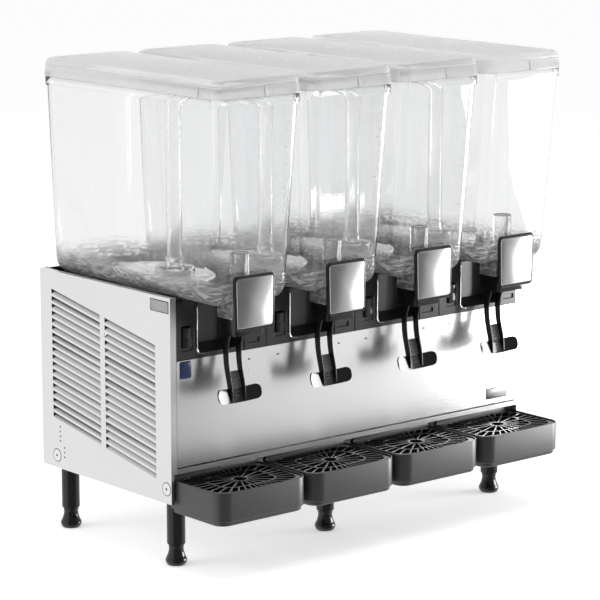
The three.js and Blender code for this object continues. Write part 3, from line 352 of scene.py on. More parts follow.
STEEL_TONE = (0.80, 0.80, 0.81)
steel_front = brushed_steel("steel_front", 0, (0.86, 0.86, 0.865), 0.25, 0.28, 0.75, 0.0)
steel_side = brushed_steel("steel_side", 1, STEEL_TONE, 0.30, 0.38, 0.5)
# Painted shade: ambient occlusion darkens the side panels' colour in their louvres and creases.
paint_crease_shade(steel_side, 9 * MM, 2.0)
steel_drum = brushed_steel("steel_drum", 2, (0.86, 0.86, 0.86), 0.14, 0.24)
zinc = brushed_steel("zinc_sheet", 0, (0.62, 0.63, 0.64), 0.26, 0.40)
print("steels:", [m.name for m in (steel_front, steel_side, steel_drum, zinc)])

# %% [markdown]
# ## Black and grey mouldings
# The fascia, valve blocks and levers are glossy black plastic. Its colour is nearly flat, so what makes
# it read as plastic is the faint waviness of a moulded skin and a roughness that varies a little. The
# trays are a dark grey plastic with a fine grain, much less glossy.

# %% Moulded plastics
def moulded(name, tone, low, high, wave, grain=60.0, gloss=0.5):
    """Opaque moulded plastic with a faint wave in its skin."""
    material, tree = new_material(name)
    skin = object_noise(tree, grain, 3.0)
    cloud = object_noise(tree, 7.0, 2.0)
    principled(
        tree,
        Specular_IOR_Level=gloss,
        Base_Color=mottled(tree, cloud, [v * 0.9 for v in tone], [v * 1.12 for v in tone]),
        Roughness=spread(tree, skin, low, high),
        Normal=bump(tree, skin, wave),
    )
    return material


black_gloss = moulded("black_gloss", (0.006, 0.006, 0.0065), 0.10, 0.17, 0.00006)
fascia_black = moulded("fascia_black", (0.022, 0.022, 0.023), 0.20, 0.28, 0.00005)
black_satin = moulded("black_satin", (0.018, 0.018, 0.019), 0.28, 0.38, 0.00008, 220.0)
tray_grey = moulded("tray_grey", (0.018, 0.018, 0.019), 0.36, 0.46, 0.00005, 900.0, 1.0)
grip_grey = moulded("grip_grey", (0.085, 0.085, 0.088), 0.34, 0.42, 0.00002, 500.0)
badge_film = brushed_steel("badge_film", 0, (0.44, 0.44, 0.445), 0.26, 0.30, 0.5, 0.0)
plate_steel = brushed_steel("plate_steel", 0, (0.42, 0.42, 0.425), 0.34, 0.42)
bright_trim = brushed_steel("bright_trim", 2, (0.84, 0.84, 0.85), 0.10, 0.18)
pale_plastic = moulded("pale_plastic", (0.62, 0.63, 0.63), 0.3, 0.4, 0.00005)
enamel = moulded("black_enamel", (0.006, 0.006, 0.0065), 0.10, 0.18, 0.00008, 40.0)
fins = brushed_steel("fin_metal", 2, (0.6, 0.6, 0.6), 0.3, 0.5)

# %% [markdown]
# ## Clear plastic
# The bowls, lids and tubes are clear moulded polycarbonate with real wall thickness, so light bends twice
# at each wall. In a white studio such a piece would vanish. What shows it is the grey of its edges, where
# one looks along the wall through a lot of plastic. A full absorption inside the wall would do that too,
# but needs many samples, so the transmitted colour is darkened by the angle of view instead. Near its
# floor a moulded bowl is thicker, wavy and slightly hazy, which hides the black deck under it.

# %% Clear plastic
def clear_plastic(name, facing, edge, sharpness=3.0):
    """Clear plastic that greys towards its edges; returns its material, tree and shader."""
    material, tree = new_material(name)
    angle = add(tree, "ShaderNodeLayerWeight", Blend=0.5).outputs["Facing"]
    shader = principled(
        tree,
        Transmission_Weight=1.0,
        IOR=1.5,
        Roughness=0.0,
        Base_Color=mottled(tree, calc(tree, "POWER", angle, sharpness), facing, edge),
        Normal=bump(tree, object_noise(tree, 10.0, 1.0), 0.00015),
    )
    return material, tree, shader


# %% The bowl's hazy, wavy foot with painted dark streaks, and the lid's faint milk
# Painted refraction: the dark tone of streaks that stand in for the black deck seen through the ripples.
HAZE_TONE, MILK_TONE, PAINTED_STREAK_TONE = (0.86, 0.87, 0.87, 1), (0.95, 0.95, 0.95, 1), (0.05, 0.052, 0.055, 1)
HAZE_MOST, MILK_SHARE, FOOT_WAVE = 0.20, 0.36, 0.006


def whiten(tree, shader, tone, share):
    """Mixes lit white into a shader; its share is a value or an output."""
    lit = made(tree, "ShaderNodeBsdfDiffuse", tone)
    haze = made(tree, "ShaderNodeMixShader", 0.5, lit, made(tree, "ShaderNodeBsdfTranslucent", tone))
    target = node_in(tree, "ShaderNodeOutputMaterial").inputs["Surface"]
    feed(tree, target, made(tree, "ShaderNodeMixShader", share, shader.outputs[0], haze))


def add_haze(tree, shader, low, high):
    """Mixes white haze, ripples and painted dark streaks into clear plastic, fading from height low to high;
    the streaks stand in for the black deck seen through the ripples.
    """
    where = add(tree, "ShaderNodeTexCoord").outputs["Object"]
    fade = eased(tree, made(tree, "ShaderNodeSeparateXYZ", where, give="Z"), low, high, 1.0, 0.0)
    ripple = object_noise(tree, 26.0, 4.0, (1.0, 1.0, 4.0), 2.2)
    # Painted refraction: dark streaks in the transmitted colour, where the ripples would show the black
    # deck.
    painted_streak = calc(tree, "MULTIPLY", eased(tree, ripple, 0.44, 0.58, 1.0, 0.0), fade)
    uneven = add(tree, "ShaderNodeBump", Strength=1.0, Height=ripple, Normal=source_of(shader, "Normal"),
                 Distance=calc(tree, "MULTIPLY", fade, FOOT_WAVE))
    feed(tree, shader.inputs["Base Color"], mixed(tree, painted_streak, source_of(shader, "Base Color"), PAINTED_STREAK_TONE))
    feed(tree, shader.inputs["Normal"], uneven.outputs["Normal"])
    cloud = spread(tree, ripple, 0.25 * HAZE_MOST, 1.5 * HAZE_MOST)
    whiten(tree, shader, HAZE_TONE, calc(tree, "MULTIPLY", fade, cloud))


BOWL_FACING, BOWL_EDGE = (0.958, 0.960, 0.962), (0.14, 0.15, 0.16)
LID_FACING, LID_EDGE = (0.972, 0.974, 0.976), (0.45, 0.46, 0.47)
HAZE_LOW, HAZE_HIGH = cabinet_z - 8 * MM, cabinet_z + 46 * MM
clear_bowl, bowl_tree, bowl_shader = clear_plastic("clear_bowl", BOWL_FACING, BOWL_EDGE, 4.0)
add_haze(bowl_tree, bowl_shader, HAZE_LOW, HAZE_HIGH)
clear_lid, lid_tree, lid_shader = clear_plastic("clear_lid", LID_FACING, LID_EDGE, 6.0)
whiten(lid_tree, lid_shader, MILK_TONE, MILK_SHARE)
clear_tube = clear_plastic("clear_tube", (0.97, 0.97, 0.97), (0.50, 0.51, 0.52))[0]
clear_float = clear_plastic("clear_float", (0.93, 0.93, 0.93), (0.30, 0.31, 0.32))[0]
print("clear plastics:", [m.name for m in (clear_bowl, clear_lid, clear_tube, clear_float)])

# %% [markdown]
# ## The CAD solids that stay
# Panels, chassis and fascia already have the right shape. A solid from CAD has perfectly sharp edges,
# which never catch light. A stack of modifiers joins its triangles back into flat faces and rounds each
# edge by a fraction of a millimetre, without touching the mesh itself.

# %% Soft edges and materials for the solids that stay
def add_bevel(obj, width, segments, angle):
    """Rounds the edges that are sharper than an angle in degrees."""
    edge = obj.modifiers.new("edge", "BEVEL")
    edge.width, edge.segments = width, segments
    edge.limit_method, edge.angle_limit = "ANGLE", math.radians(angle)
    edge.use_clamp_overlap = True
    return edge


def soften(obj, width):
    """Rounds a CAD solid's edges by modifiers alone."""
    weld = obj.modifiers.new("weld", "WELD")
    weld.merge_threshold = 0.02 * MM
    flat = obj.modifiers.new("flat", "DECIMATE")
    flat.decimate_type, flat.angle_limit = "DISSOLVE", math.radians(1.0)
    add_bevel(obj, width, 2, 40.0)


def dress(material, names, width=0.0):
    """Gives CAD solids a material and, where width is set, soft edges."""
    for name in names:
        obj = nodes[name]
        obj.data.materials.clear()
        obj.data.materials.append(material)
        if width:
            soften(obj, width)


dress(steel_side, ["side_panel_left", "side_panel_right"], 0.0003)
dress(steel_front, ["front_panel"], 0.0006)
dress(zinc, ["chassis"], 0.0004)
dress(zinc, ["rear_panel", "fan_shroud"], 0.0003)
dress(fascia_black, ["deck_fascia"], 0.0006)
dress(black_gloss, [f"rocker_{k}" for k in modules], 0.0006)
dress(black_satin, ["condenser_fan"], 0.0003)
dress(pale_plastic, [f"impeller_{k}" for k in modules], 0.0003)
dress(enamel, ["compressor"], 0.0015)
dress(fins, ["condenser"], 0.0004)
print("solids kept so far:", sum(not o.hide_render for o in nodes.values()))

# %% [markdown]
# ## Meshes through rings
# A bowl, lid or tray is a stack of rounded rectangles that changes from level to level. Modelling it by
# hand would mean many edge loops; drawing each level as a ring of points and joining the rings with quads
# gives the same clean mesh from a few numbers, with corners as fine as wanted.

# %% Outlines
def arc(x, y, radius, start, end, steps):
    """Points along an arc, both ends included."""
    turns = [start + (end - start) * i / steps for i in range(steps + 1)]
    return [(x + radius * math.cos(t), y + radius * math.sin(t)) for t in turns]


def round_rect(half, front, back, front_radius, back_radius, steps=9):
    """A rectangle with round corners as a closed outline."""
    corners = (
        (half - front_radius, front + front_radius, front_radius),
        (half - back_radius, back - back_radius, back_radius),
        (back_radius - half, back - back_radius, back_radius),
        (front_radius - half, front + front_radius, front_radius),
    )
    points = []
    for turn, (x, y, radius) in enumerate(corners):
        start = (turn - 1) * math.pi / 2
        points += arc(x, y, radius, start, start + math.pi / 2, steps)
    return points


HALF_CIRCLE_STEPS = 28


def stadium(inset, half, straight, middle):
    """Two half circles joined by straight sides."""
    radius = half - inset
    return (arc(0, middle + straight / 2, radius, 0, math.pi, HALF_CIRCLE_STEPS)
            + arc(0, middle - straight / 2, radius, math.pi, 2 * math.pi, HALF_CIRCLE_STEPS))


def circle(x, y, radius, steps):
    return arc(x, y, radius, 0, 2 * math.pi, steps)[1:]


def oblong(half, low, high):
    """A plain rectangle, the same to both sides."""
    return [(-half, low), (half, low), (half, high), (-half, high)]


def quarter(steps):
    """Angles from nought to a right angle, for rounded edges."""
    return [i / steps * math.pi / 2 for i in range(steps + 1)]


def at_height(outline, z):
    return [(x, y, z) for x, y in outline]


# %% Meshes from rings, profiles and outlines
def mesh_of(points, faces):
    mesh = bpy.data.meshes.new("part")
    mesh.from_pydata(points, [], faces)
    shape = bmesh.new()
    shape.from_mesh(mesh)
    bmesh.ops.remove_doubles(shape, verts=shape.verts, dist=0.000002)
    bmesh.ops.recalc_face_normals(shape, faces=shape.faces)
    shape.to_mesh(mesh)
    shape.free()
    return mesh


def skin(rings, capped=True):
    """A skin through rings of equal point counts, closed at both ends if it is capped."""
    count = len(rings[0])
    points = [p for ring in rings for p in ring]
    faces = [tuple(range(count)), tuple(range(len(points) - count, len(points)))] if capped else []
    for level in range(len(rings) - 1):
        for i in range(count):
            a, b = level * count + i, level * count + (i + 1) % count
            faces.append((a, b, b + count, a + count))
    return mesh_of(points, faces)


ROUND_STEPS = 48
LEAST_RADIUS = 0.02 * MM


def turned_rings(profile, y, steps):
    """A ring for each radius and height of a profile."""
    turns = [2 * math.pi * i / steps for i in range(steps)]
    return [[(radius * math.cos(t), y + radius * math.sin(t), z) for t in turns] for radius, z in profile]


def turned(profile, y=0.0, steps=ROUND_STEPS):
    """A profile of radius and height turned about a vertical axis."""
    return skin(turned_rings([(max(radius, LEAST_RADIUS), z) for radius, z in profile], y, steps))


def turned_hollow(profile, y=0.0):
    """A profile that ends where it starts, turned into a hollow piece."""
    return skin(turned_rings(profile, y, ROUND_STEPS), capped=False)


def prism(outline, low, high, place):
    """An outline given depth; place turns (u, v, depth) into a point."""
    return skin([[place(u, v, d) for u, v in outline] for d in (low, high)])


def upright(u, v, d):
    return (u, v, d)


def sideways(u, v, d):
    return (d, u, v)


def facing(u, v, d):
    return (u, d, v)


# %% Booleans and soft edges, evaluated once so that the four modules share a mesh
def evaluated(obj, helpers=()):
    graph = bpy.context.evaluated_depsgraph_get()
    graph.update()
    mesh = bpy.data.meshes.new_from_object(obj.evaluated_get(graph))
    for other in (*helpers, obj):
        bpy.data.objects.remove(other)
    return mesh


def shaped(mesh, tools=(), width=0.0, segments=2, angle=35.0):
    """The mesh with tools added or cut away, then its sharp edges rounded by width."""
    work = linked("work", mesh)
    helpers = []
    for operation, tool in tools:
        helper = linked("tool", tool)
        helpers.append(helper)
        modifier = work.modifiers.new("shape", "BOOLEAN")
        modifier.operation, modifier.solver, modifier.object = operation, "EXACT", helper
    if width:
        weld = work.modifiers.new("weld", "WELD")
        weld.merge_threshold = 0.00001
        add_bevel(work, width, segments, angle).miter_outer = "MITER_ARC"
    return evaluated(work, helpers)


def drawn(lines, closed, **settings):
    """The mesh of a curve with these settings through straight lines of points."""
    curve = bpy.data.curves.new("drawn", "CURVE")
    for key, value in settings.items():
        setattr(curve, key, value)
    for line in lines:
        spline = curve.splines.new("POLY")
        spline.points.add(len(line) - 1)
        spline.use_cyclic_u = closed
        for point, spot in zip(spline.points, line):
            point.co = (*spot, 1)
    return evaluated(linked("work", curve))


def place(name, mesh, material, body, stands_for=None, x=0.0, slot=None, sharp=38.0):
    """Puts a mesh in the scene, smooth but for sharp edges, riding on a body."""
    mesh.name = name
    mesh.materials.clear()
    mesh.materials.append(material)
    mesh.shade_smooth()
    mesh.set_sharp_from_angle(angle=math.radians(sharp))
    obj = linked(name, mesh)
    obj.location.x = x
    bpy.context.view_layer.update()
    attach(obj, body)
    if stands_for:
        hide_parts(*stands_for)
    return obj


def place_row(name, mesh, material, body, node, slot, shift=0.0, sharp=38.0):
    """Places a mesh once for each module, on the module's own body or on the cabinet."""
    for k in modules:
        carrier = body if body == "cabinet" else f"{body}_{k}"
        stands_for = [f"{node}_{k}"] if node else None
        place(f"{name}_{k}", mesh, material, carrier, stands_for, centre[k] + shift, slot, sharp)


# %% [markdown]
# ## The bowls
# Each bowl is a deep tank, a little wider at its top, with a rounded floor edge, a rim flange and a thin
# lip that the lid sits round. Its floor has a long hole with a collar for the evaporator, and under its
# front a square neck with a spout leads the drink into the valve. The walls are real, 3 mm thick.

# %% Sizes of a bowl
deck_z = cabinet_z - 11 * MM
bowl_z = deck_z + 4 * MM
floor_z = bowl_z + 3 * MM
rim_z = bowl_z + 322 * MM
rim_top_z = rim_z + 14.7 * MM
lip_z = rim_top_z + 10.3 * MM
neck_z = bowl_z - 26.7 * MM
spout_z = neck_z - 8.5 * MM
spout_y = front_y - 53 * MM
drum_y = front_y + 141 * MM
tube_y = drum_y - 24 * MM
DRUM_HALF, DRUM_STRAIGHT = 62 * MM, 80 * MM
FLOOR_EDGE, FRONT_EDGE = 24 * MM, 14 * MM
BOWL_WALL = 3 * MM
BOWL_FRONT, FRONT_LEAN = 78 * MM, 29 * MM
FRONT_CORNER, BACK_CORNER = 18 * MM, 30 * MM
RIM_OUT, LIP_IN = 3.4 * MM, 1.6 * MM


def height_share(z):
    """How far up the bowl a height is, from 0 at its floor to 1 at its rim."""
    return min((z - bowl_z) / (rim_z - bowl_z), 1.0)


def bowl_ring(z, inset, front_inset=None):
    """The bowl's outline at a height, inset by a wall."""
    share = height_share(z)
    half = (82.5 + 4.5 * share) * MM - inset
    front = front_y - BOWL_FRONT - FRONT_LEAN * share + (inset if front_inset is None else front_inset)
    back = back_y + (-2.5 + 13.5 * share) * MM - inset
    corners = max(FRONT_CORNER - inset, MM), max(BACK_CORNER - inset, MM)
    return at_height(round_rect(half, front, back, *corners, 12), z)


def floor_edge(bottom, wall):
    """Rings of the rounded edge between floor and walls; it is steeper at the front, above the valve."""
    radius, front_radius = FLOOR_EDGE - wall, FRONT_EDGE - wall
    rings = []
    for turn in quarter(8):
        slack = 1 - math.sin(turn)
        z = bottom + radius * (1 - math.cos(turn))
        rings.append(bowl_ring(z, wall + radius * slack, wall + front_radius * slack))
    return rings


# %% A bowl's neck
NECK_HALF, NECK_FRONT, NECK_BACK = 30 * MM, front_y - 72 * MM, front_y - 28 * MM
NECK_WALL = 3.5 * MM
SPOUT_RADIUS, BORE_RADIUS = 11 * MM, 8.5 * MM


def neck_side():
    """The neck from the side, its front following the tank's rounded edge."""
    front, top = front_y - BOWL_FRONT + 1.5 * MM, bowl_z + 1.5 * MM
    curve = [(front + 12.5 * MM * (1 - math.sin(t)), top + 22.5 * MM * (1 - math.cos(t)))
             for t in quarter(8)[:7]]
    back, low = front_y - 20 * MM, neck_z - MM
    return [(back, low), (back, top), *curve, (curve[-1][0], low)]


def neck_mesh():
    outline = round_rect(NECK_HALF, NECK_FRONT, NECK_BACK, 5 * MM, 5 * MM, 5)
    return shaped(
        prism(outline, neck_z, bowl_z + 16 * MM, upright),
        [("INTERSECT", prism(neck_side(), -40 * MM, 40 * MM, sideways))],
    )


def chamber_mesh():
    """The hollow inside the neck."""
    front, back = NECK_FRONT + NECK_WALL, NECK_BACK - NECK_WALL
    outline = round_rect(NECK_HALF - NECK_WALL, front, back, 3 * MM, 3 * MM, 4)
    return prism(outline, neck_z - MM, bowl_z - 0.5 * MM, upright)


# %% A bowl
def bowl_mesh():
    tank = skin([
        *floor_edge(bowl_z, 0),
        bowl_ring(rim_z, 0),
        bowl_ring(rim_z, -RIM_OUT),
        bowl_ring(rim_top_z, -RIM_OUT),
        bowl_ring(rim_top_z, LIP_IN),
        bowl_ring(lip_z, LIP_IN),
        bowl_ring(lip_z, BOWL_WALL),
        *reversed(floor_edge(floor_z, BOWL_WALL)),
    ])
    spout = prism(circle(0, spout_y, SPOUT_RADIUS, 40), spout_z, floor_z - 0.3 * MM, upright)
    bore = prism(circle(0, spout_y, BORE_RADIUS, 40), spout_z - MM, floor_z + MM, upright)
    outer, inner = (stadium(-out * MM, DRUM_HALF, DRUM_STRAIGHT, drum_y) for out in (3.6, 0.6))
    collar = prism(outer, bowl_z, bowl_z + 8 * MM, upright)
    hole = prism(inner, bowl_z - MM, bowl_z + 9 * MM, upright)
    tools = [("UNION", neck_mesh()), ("DIFFERENCE", chamber_mesh()), ("UNION", spout), ("UNION", collar),
             ("DIFFERENCE", bore), ("DIFFERENCE", hole)]
    return shaped(tank, tools, 0.5 * MM)


bowl = bowl_mesh()
place_row("clear_bowl", bowl, clear_bowl, "bowl", "bowl", "clear_plastic")
print("faces of a bowl:", len(bowl.polygons))

# %% [markdown]
# ## The lids
# A lid has a skirt that flares outwards to its lower edge, a groove, and a crown that rolls over to a
# flat top. It is a thin shell, so both its outside and its inside are drawn, and the light is bent twice.

# %% A lid
lid_z = rim_top_z + 0.3 * MM
lid_groove_z = lid_z + 18 * MM
lid_crown_z = lid_groove_z + 2 * MM
lid_top_z = lid_crown_z + 10 * MM
LID_HALF, LID_FRONT, LID_BACK = 91.3 * MM, front_y - 111.3 * MM, back_y + 15.3 * MM
LID_FRONT_CORNER, LID_BACK_CORNER = 21 * MM, 32 * MM


def lid_ring(z, inset):
    corners = max(LID_FRONT_CORNER - inset, MM), max(LID_BACK_CORNER - inset, MM)
    return at_height(round_rect(LID_HALF - inset, LID_FRONT + inset, LID_BACK - inset, *corners, 12), z)


def lid_mesh():
    turns = quarter(8)
    outside = [(lid_z, 0), (lid_groove_z, 3), (lid_groove_z + 0.4 * MM, 4.4), (lid_crown_z - 0.4 * MM, 4.4)]
    outside += [(lid_crown_z + 10 * MM * math.sin(t), 3 + 7 * (1 - math.cos(t))) for t in turns]
    inside = [(lid_z - 2 * MM, 2.2), (lid_groove_z - 2.4 * MM, 5.4), (lid_groove_z, 7.2)]
    inside += [(lid_crown_z + 7.6 * MM * math.sin(t), 7.4 + 5 * (1 - math.cos(t))) for t in turns]
    shell, hollow = (skin([lid_ring(z, inset * MM) for z, inset in levels]) for levels in (outside, inside))
    return shaped(shell, [("DIFFERENCE", hollow)], 0.35 * MM)


lid = lid_mesh()
place_row("clear_lid", lid, clear_lid, "lid", "lid", "clear_plastic")
print("faces of a lid:", len(lid.polygons))

# %% [markdown]
# ## Evaporator, spray tube and plunger
# Inside a bowl stand an oblong steel drum that chills the drink, a clear tube that sprays it to the lid,
# and over the valve a clear float-like plunger. All three are seen only through the bowl's walls. The tube
# stands on a flat foot before the middle of the drum, over the impeller that feeds it.

# %% The drums
drum_z = deck_z + 0.3 * MM
drum_top_z = drum_z + 25.7 * MM
drum_floor_z = drum_top_z - 2 * MM


def drum_mesh():
    """An oblong drum with a rounded shoulder and a dished top."""
    def ring(z, inset):
        return at_height(stadium(inset, DRUM_HALF, DRUM_STRAIGHT, drum_y), z)

    shoulder = [ring(drum_top_z - 5 * MM * (1 - math.sin(t)), 3.4 * MM * (1 - math.cos(t)))
                for t in quarter(6)]
    dish = [ring(drum_floor_z + 2 * MM * (1 + math.cos(t)) / 2, (8 + 4 * t / math.pi) * MM)
            for t in (i / 5 * math.pi for i in range(6))]
    drum = skin([ring(drum_z, 0), ring(drum_z + 6 * MM, 0), *shoulder, *dish])
    pin_profile = [(2.4, -2), (2.4, 9), (1.6, 10)]
    pin = turned([(r * MM, drum_floor_z + h * MM) for r, h in pin_profile], tube_y, 20)
    return shaped(drum, [("UNION", pin)], 0.2 * MM)


drum = drum_mesh()
place_row("drum", drum, steel_drum, "cabinet", "evaporator", "stainless")
print("faces of a drum:", len(drum.polygons))

# %% The spray tubes
tube_z = drum_floor_z + 0.3 * MM


def tube_mesh():
    """A clear tube on a flat round foot, with a low slot through the foot for the drink."""
    outside = [(34, 0), (34, 11), (33.4, 12.3), (32, 13), (17.5, 13.6), (16.4, 14.2), (16, 15.5), (16, 27),
               (15.4, 27.8), (13.6, 28.4), (13, 29.6), (13, 309.4), (12.4, 310)]
    inside = [(11.2, 310), (10.6, 309.4), (10.6, 13), (11.2, 11.6), (12.6, 11), (30.6, 10.6), (31.6, 9.6),
              (31.6, 0)]
    profile = [(r * MM, tube_z + h * MM) for r, h in outside + inside]
    profile.append(profile[0])
    slot = prism(oblong(36 * MM, tube_y - 8 * MM, tube_y + 8 * MM), tube_z - MM, tube_z + 4 * MM, upright)
    return shaped(turned_hollow(profile, tube_y), [("DIFFERENCE", slot)])


tube = tube_mesh()
place_row("clear_tube", tube, clear_tube, "spray_tube", "spray_tube", "clear_plastic")
print("faces of a tube:", len(tube.polygons))

# %% The plungers
def plunger_mesh():
    """A clear head with rounded edges, a seat cone, and a stem with a cross bar for the lever's arms."""
    seat = floor_z + 0.3 * MM
    low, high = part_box("plunger_1")
    top = high.z
    profile = [(0, low.z), (6.4 * MM, low.z), (7 * MM, low.z + 0.6 * MM), (7 * MM, spout_z - 3.5 * MM),
               (8 * MM, spout_z), (8 * MM, seat), (10.5 * MM, seat), (16 * MM, seat + 6.7 * MM)]
    profile += [((14 + 2 * math.cos(t)) * MM, top - 2 * MM * (1 - math.sin(t))) for t in quarter(5)]
    profile += [(12.6 * MM, top), (12 * MM, top - 0.8 * MM), (0, top - 0.8 * MM)]
    body = turned(profile, spout_y)
    cross_low = low.z + 2 * MM
    outline = round_rect(15.5 * MM, spout_y - 2.5 * MM, spout_y + 2.5 * MM, 1.5 * MM, 1.5 * MM, 4)
    cross = prism(outline, cross_low, cross_low + 3.5 * MM, upright)
    return shaped(body, [("UNION", cross)])


plunger = plunger_mesh()
place_row("clear_plunger", plunger, clear_float, "plunger", "plunger", "clear_plastic")

# %% [markdown]
# ## The valve blocks and their badge plates
# Under each bowl's neck hangs a black block that holds the valve, and in front of it stands a plate with a
# glossy rounded frame round a plain, duller panel. The frame and the panel are separate meshes, because
# the real panel is a film laid into the frame, and the seam between them catches a line of shadow.

# %% Sizes of the block and the plate
block_top_z = neck_z - 0.3 * MM
block_low_z = block_top_z - 27 * MM
badge_low_z = block_low_z + 10.6 * MM
BADGE_HEIGHT = 91.7 * MM
badge_back_y = front_y - 85.5 * MM
badge_front_y = badge_back_y - 7.5 * MM
BADGE_HALF, BADGE_CORNER, BADGE_TAPER = 41.8 * MM, 9 * MM, 0.0262


def badge_ring(y, inset):
    """The plate's outline at a depth; it widens a little towards its top."""
    low, high = badge_low_z + inset, badge_low_z + BADGE_HEIGHT - inset
    corner = max(BADGE_CORNER - inset, 0.8 * MM)
    outline = round_rect(BADGE_HALF - inset, low, high, corner, corner, 8)
    middle = badge_low_z + BADGE_HEIGHT / 2
    return [(x * (1 + BADGE_TAPER * (z - middle) / BADGE_HALF), y, z) for x, z in outline]


# %% Block, frame and panel
def block_mesh():
    """The fork over the lever's arms, with a boss that carries the plate."""
    outline = round_rect(NECK_HALF, front_y - 79 * MM, NECK_BACK, 5 * MM, 5 * MM, 4)
    body = prism(outline, block_low_z, block_top_z, upright)
    boss_high = min(badge_low_z + 44 * MM, block_top_z)
    boss_outline = oblong(20 * MM, badge_low_z + 1.6 * MM, boss_high)
    boss = prism(boss_outline, badge_back_y - 1.6 * MM, front_y - 77 * MM, facing)
    room = oblong(16 * MM, block_low_z - MM, block_top_z - 3.7 * MM)
    cavity = prism(room, front_y - 74 * MM, front_y - 26 * MM, facing)
    mouth = prism(circle(0, spout_y, 11.6 * MM, 32), block_top_z - 6 * MM, block_top_z + MM, upright)
    return shaped(body, [("UNION", boss), ("DIFFERENCE", cavity), ("DIFFERENCE", mouth)], 0.9 * MM, 3)


def frame_mesh():
    """The plate's body: rounded outer edge, a flat frame and a shallow recess."""
    turns = quarter(6)
    front = [badge_ring(badge_front_y + 3.6 * MM * (1 - math.sin(t)), 3.4 * MM * (1 - math.cos(t)))
             for t in turns]
    back = [badge_ring(badge_back_y - 2.4 * MM * math.sin(t), 2.4 * MM * (1 - math.sin(t))) for t in turns]
    lip = [badge_ring(badge_front_y, 3.9 * MM), badge_ring(badge_front_y + 0.4 * MM, 4.8 * MM),
           badge_ring(badge_front_y + 1.0 * MM, 5.0 * MM)]
    return skin([*back, *front, *lip])


def panel_mesh():
    """The duller film in the frame's recess."""
    low, high = badge_front_y + 0.95 * MM, badge_front_y + 0.35 * MM
    steps = ((low, 5.2), (high + 0.15 * MM, 5.2), (high, 5.5))
    return skin([badge_ring(y, inset * MM) for y, inset in steps])


block, badge_frame, badge_panel = block_mesh(), frame_mesh(), panel_mesh()
place_row("valve_block", block, black_gloss, "bowl", "valve_housing", "black_plastic")
place_row("badge_frame", badge_frame, black_gloss, "bowl", None, "black_plastic")
place_row("badge_panel", badge_panel, badge_film, "bowl", None, "black_plastic")
print("badge from z", round(badge_low_z, 4), "to", round(badge_low_z + BADGE_HEIGHT, 4))

# %% [markdown]
# ## The push levers
# A lever hangs from a barrel inside the block: two curved ribs run down to a curved pad that a cup is
# pushed against, with a ridged insert between them. A straight polygon would show its corners in the
# glossy edges, so the ribs' outline is a smooth curve through a few measured points.

# %% A smooth curve through points
def smooth(points, steps=6):
    """Catmull-Rom curve through points, ends included."""
    padded = [points[0], *points, points[-1]]
    curve = []
    for a, b, c, d in zip(padded, padded[1:], padded[2:], padded[3:]):
        for i in range(steps):
            t = i / steps
            curve.append(tuple(
                0.5 * (2 * q + (r - p) * t + (2 * p - 5 * q + 4 * r - s) * t * t
                       + (3 * q - p - 3 * r + s) * t ** 3)
                for p, q, r, s in zip(a, b, c, d)))
    return [*curve, points[-1]]


# %% A lever
lever_y, lever_z = front_y - 67 * MM, block_low_z + 7.3 * MM


def from_pivot(points):
    return [(lever_y + y * MM, lever_z + z * MM) for y, z in points]


RIB_REAR = [(33.5, 1.5), (36, -10), (40.4, -33), (38.2, -63.6), (29.6, -97), (22.2, -122)]
RIB_FRONT = [(16.4, -122), (18.3, -97), (26.6, -63.6), (27.8, -33), (21.6, -11.5)]
RIB_INNER, RIB_OUTER = 12 * MM, 15 * MM
BARREL_RADIUS, BARREL_HALF = 4.5 * MM, 12.2 * MM
PIN_RADIUS, PIN_HALF = 2.5 * MM, 18.5 * MM


def rear_at(drop):
    """The rear edge of the ribs at a drop below the pivot, near the toe."""
    return lever_y + (28.7 + (22.2 - 28.7) * (drop - 97) / 25) * MM


def rib_mesh():
    arm_top, arm_under = [(-3.2, 3.5), (32, 3.5)], [(18.5, -5), (-3.2, -5)]
    outline = from_pivot([*arm_top, *smooth(RIB_REAR), *smooth(RIB_FRONT), *arm_under])
    return shaped(prism(outline, RIB_INNER, RIB_OUTER, sideways), (), 0.8 * MM, 3, 32)


def insert_mesh():
    """The plate between the ribs, with low grip ridges across its front."""
    outline = from_pivot([(33.2, -75), (26.2, -97), (19.7, -122), (22.2, -122), (28.7, -97), (35.8, -75)])
    plate = prism(outline, -12.4 * MM, 12.4 * MM, sideways)
    ridges = []
    for i in range(7):
        drop = 80 + 5.6 * i
        y = (33.2 - (drop - 75) * 7 / 22) if drop < 97 else (26.2 - (drop - 97) * 6.5 / 25)
        outline = circle(lever_y + (y + 0.3) * MM, lever_z - drop * MM, 0.9 * MM, 10)
        ridges.append(("UNION", prism(outline, -8.5 * MM, 8.5 * MM, sideways)))
    return shaped(plate, ridges, 0.25 * MM)


def pad_mesh():
    """A plate curved round the cup, its wings swept up a little, with rounded corners."""
    columns, rows = 44, 8
    half, low, high, radius, wall = 45.0, 101.5, 125.0, 9.0, 3.0
    points, faces = [], []
    for face in (0, 1):
        for i in range(columns + 1):
            x = -half * math.cos(math.pi * i / columns)
            past = max(abs(x) - (half - radius), 0.0)
            trim = radius - math.sqrt(max(radius ** 2 - past ** 2, 0.0))
            for j in range(rows + 1):
                drop = low + trim + (high - low - 2 * trim) * j / rows
                edge = min(j, rows - j, i, columns - i) == 0
                inward = 0.35 if edge else 0.0
                y = rear_at(drop) + (-wall + inward if face else -inward) * MM - 8.0 * MM * (x / half) ** 2
                points.append((x * MM, y, lever_z + (4.0 * (x / half) ** 2 - drop) * MM))
    row, side = rows + 1, (columns + 1) * (rows + 1)
    for i in range(columns):
        for j in range(rows):
            a = i * row + j
            b = side + a
            faces += [(a, a + row, a + row + 1, a + 1), (b, b + 1, b + row + 1, b + row)]
    rim = ([i * row for i in range(columns)] + [columns * row + j for j in range(rows)]
           + [i * row + rows for i in range(columns, 0, -1)] + list(range(rows, 0, -1)))
    for a, b in zip(rim, rim[1:] + rim[:1]):
        faces.append((a, b, side + b, side + a))
    return mesh_of(points, faces)


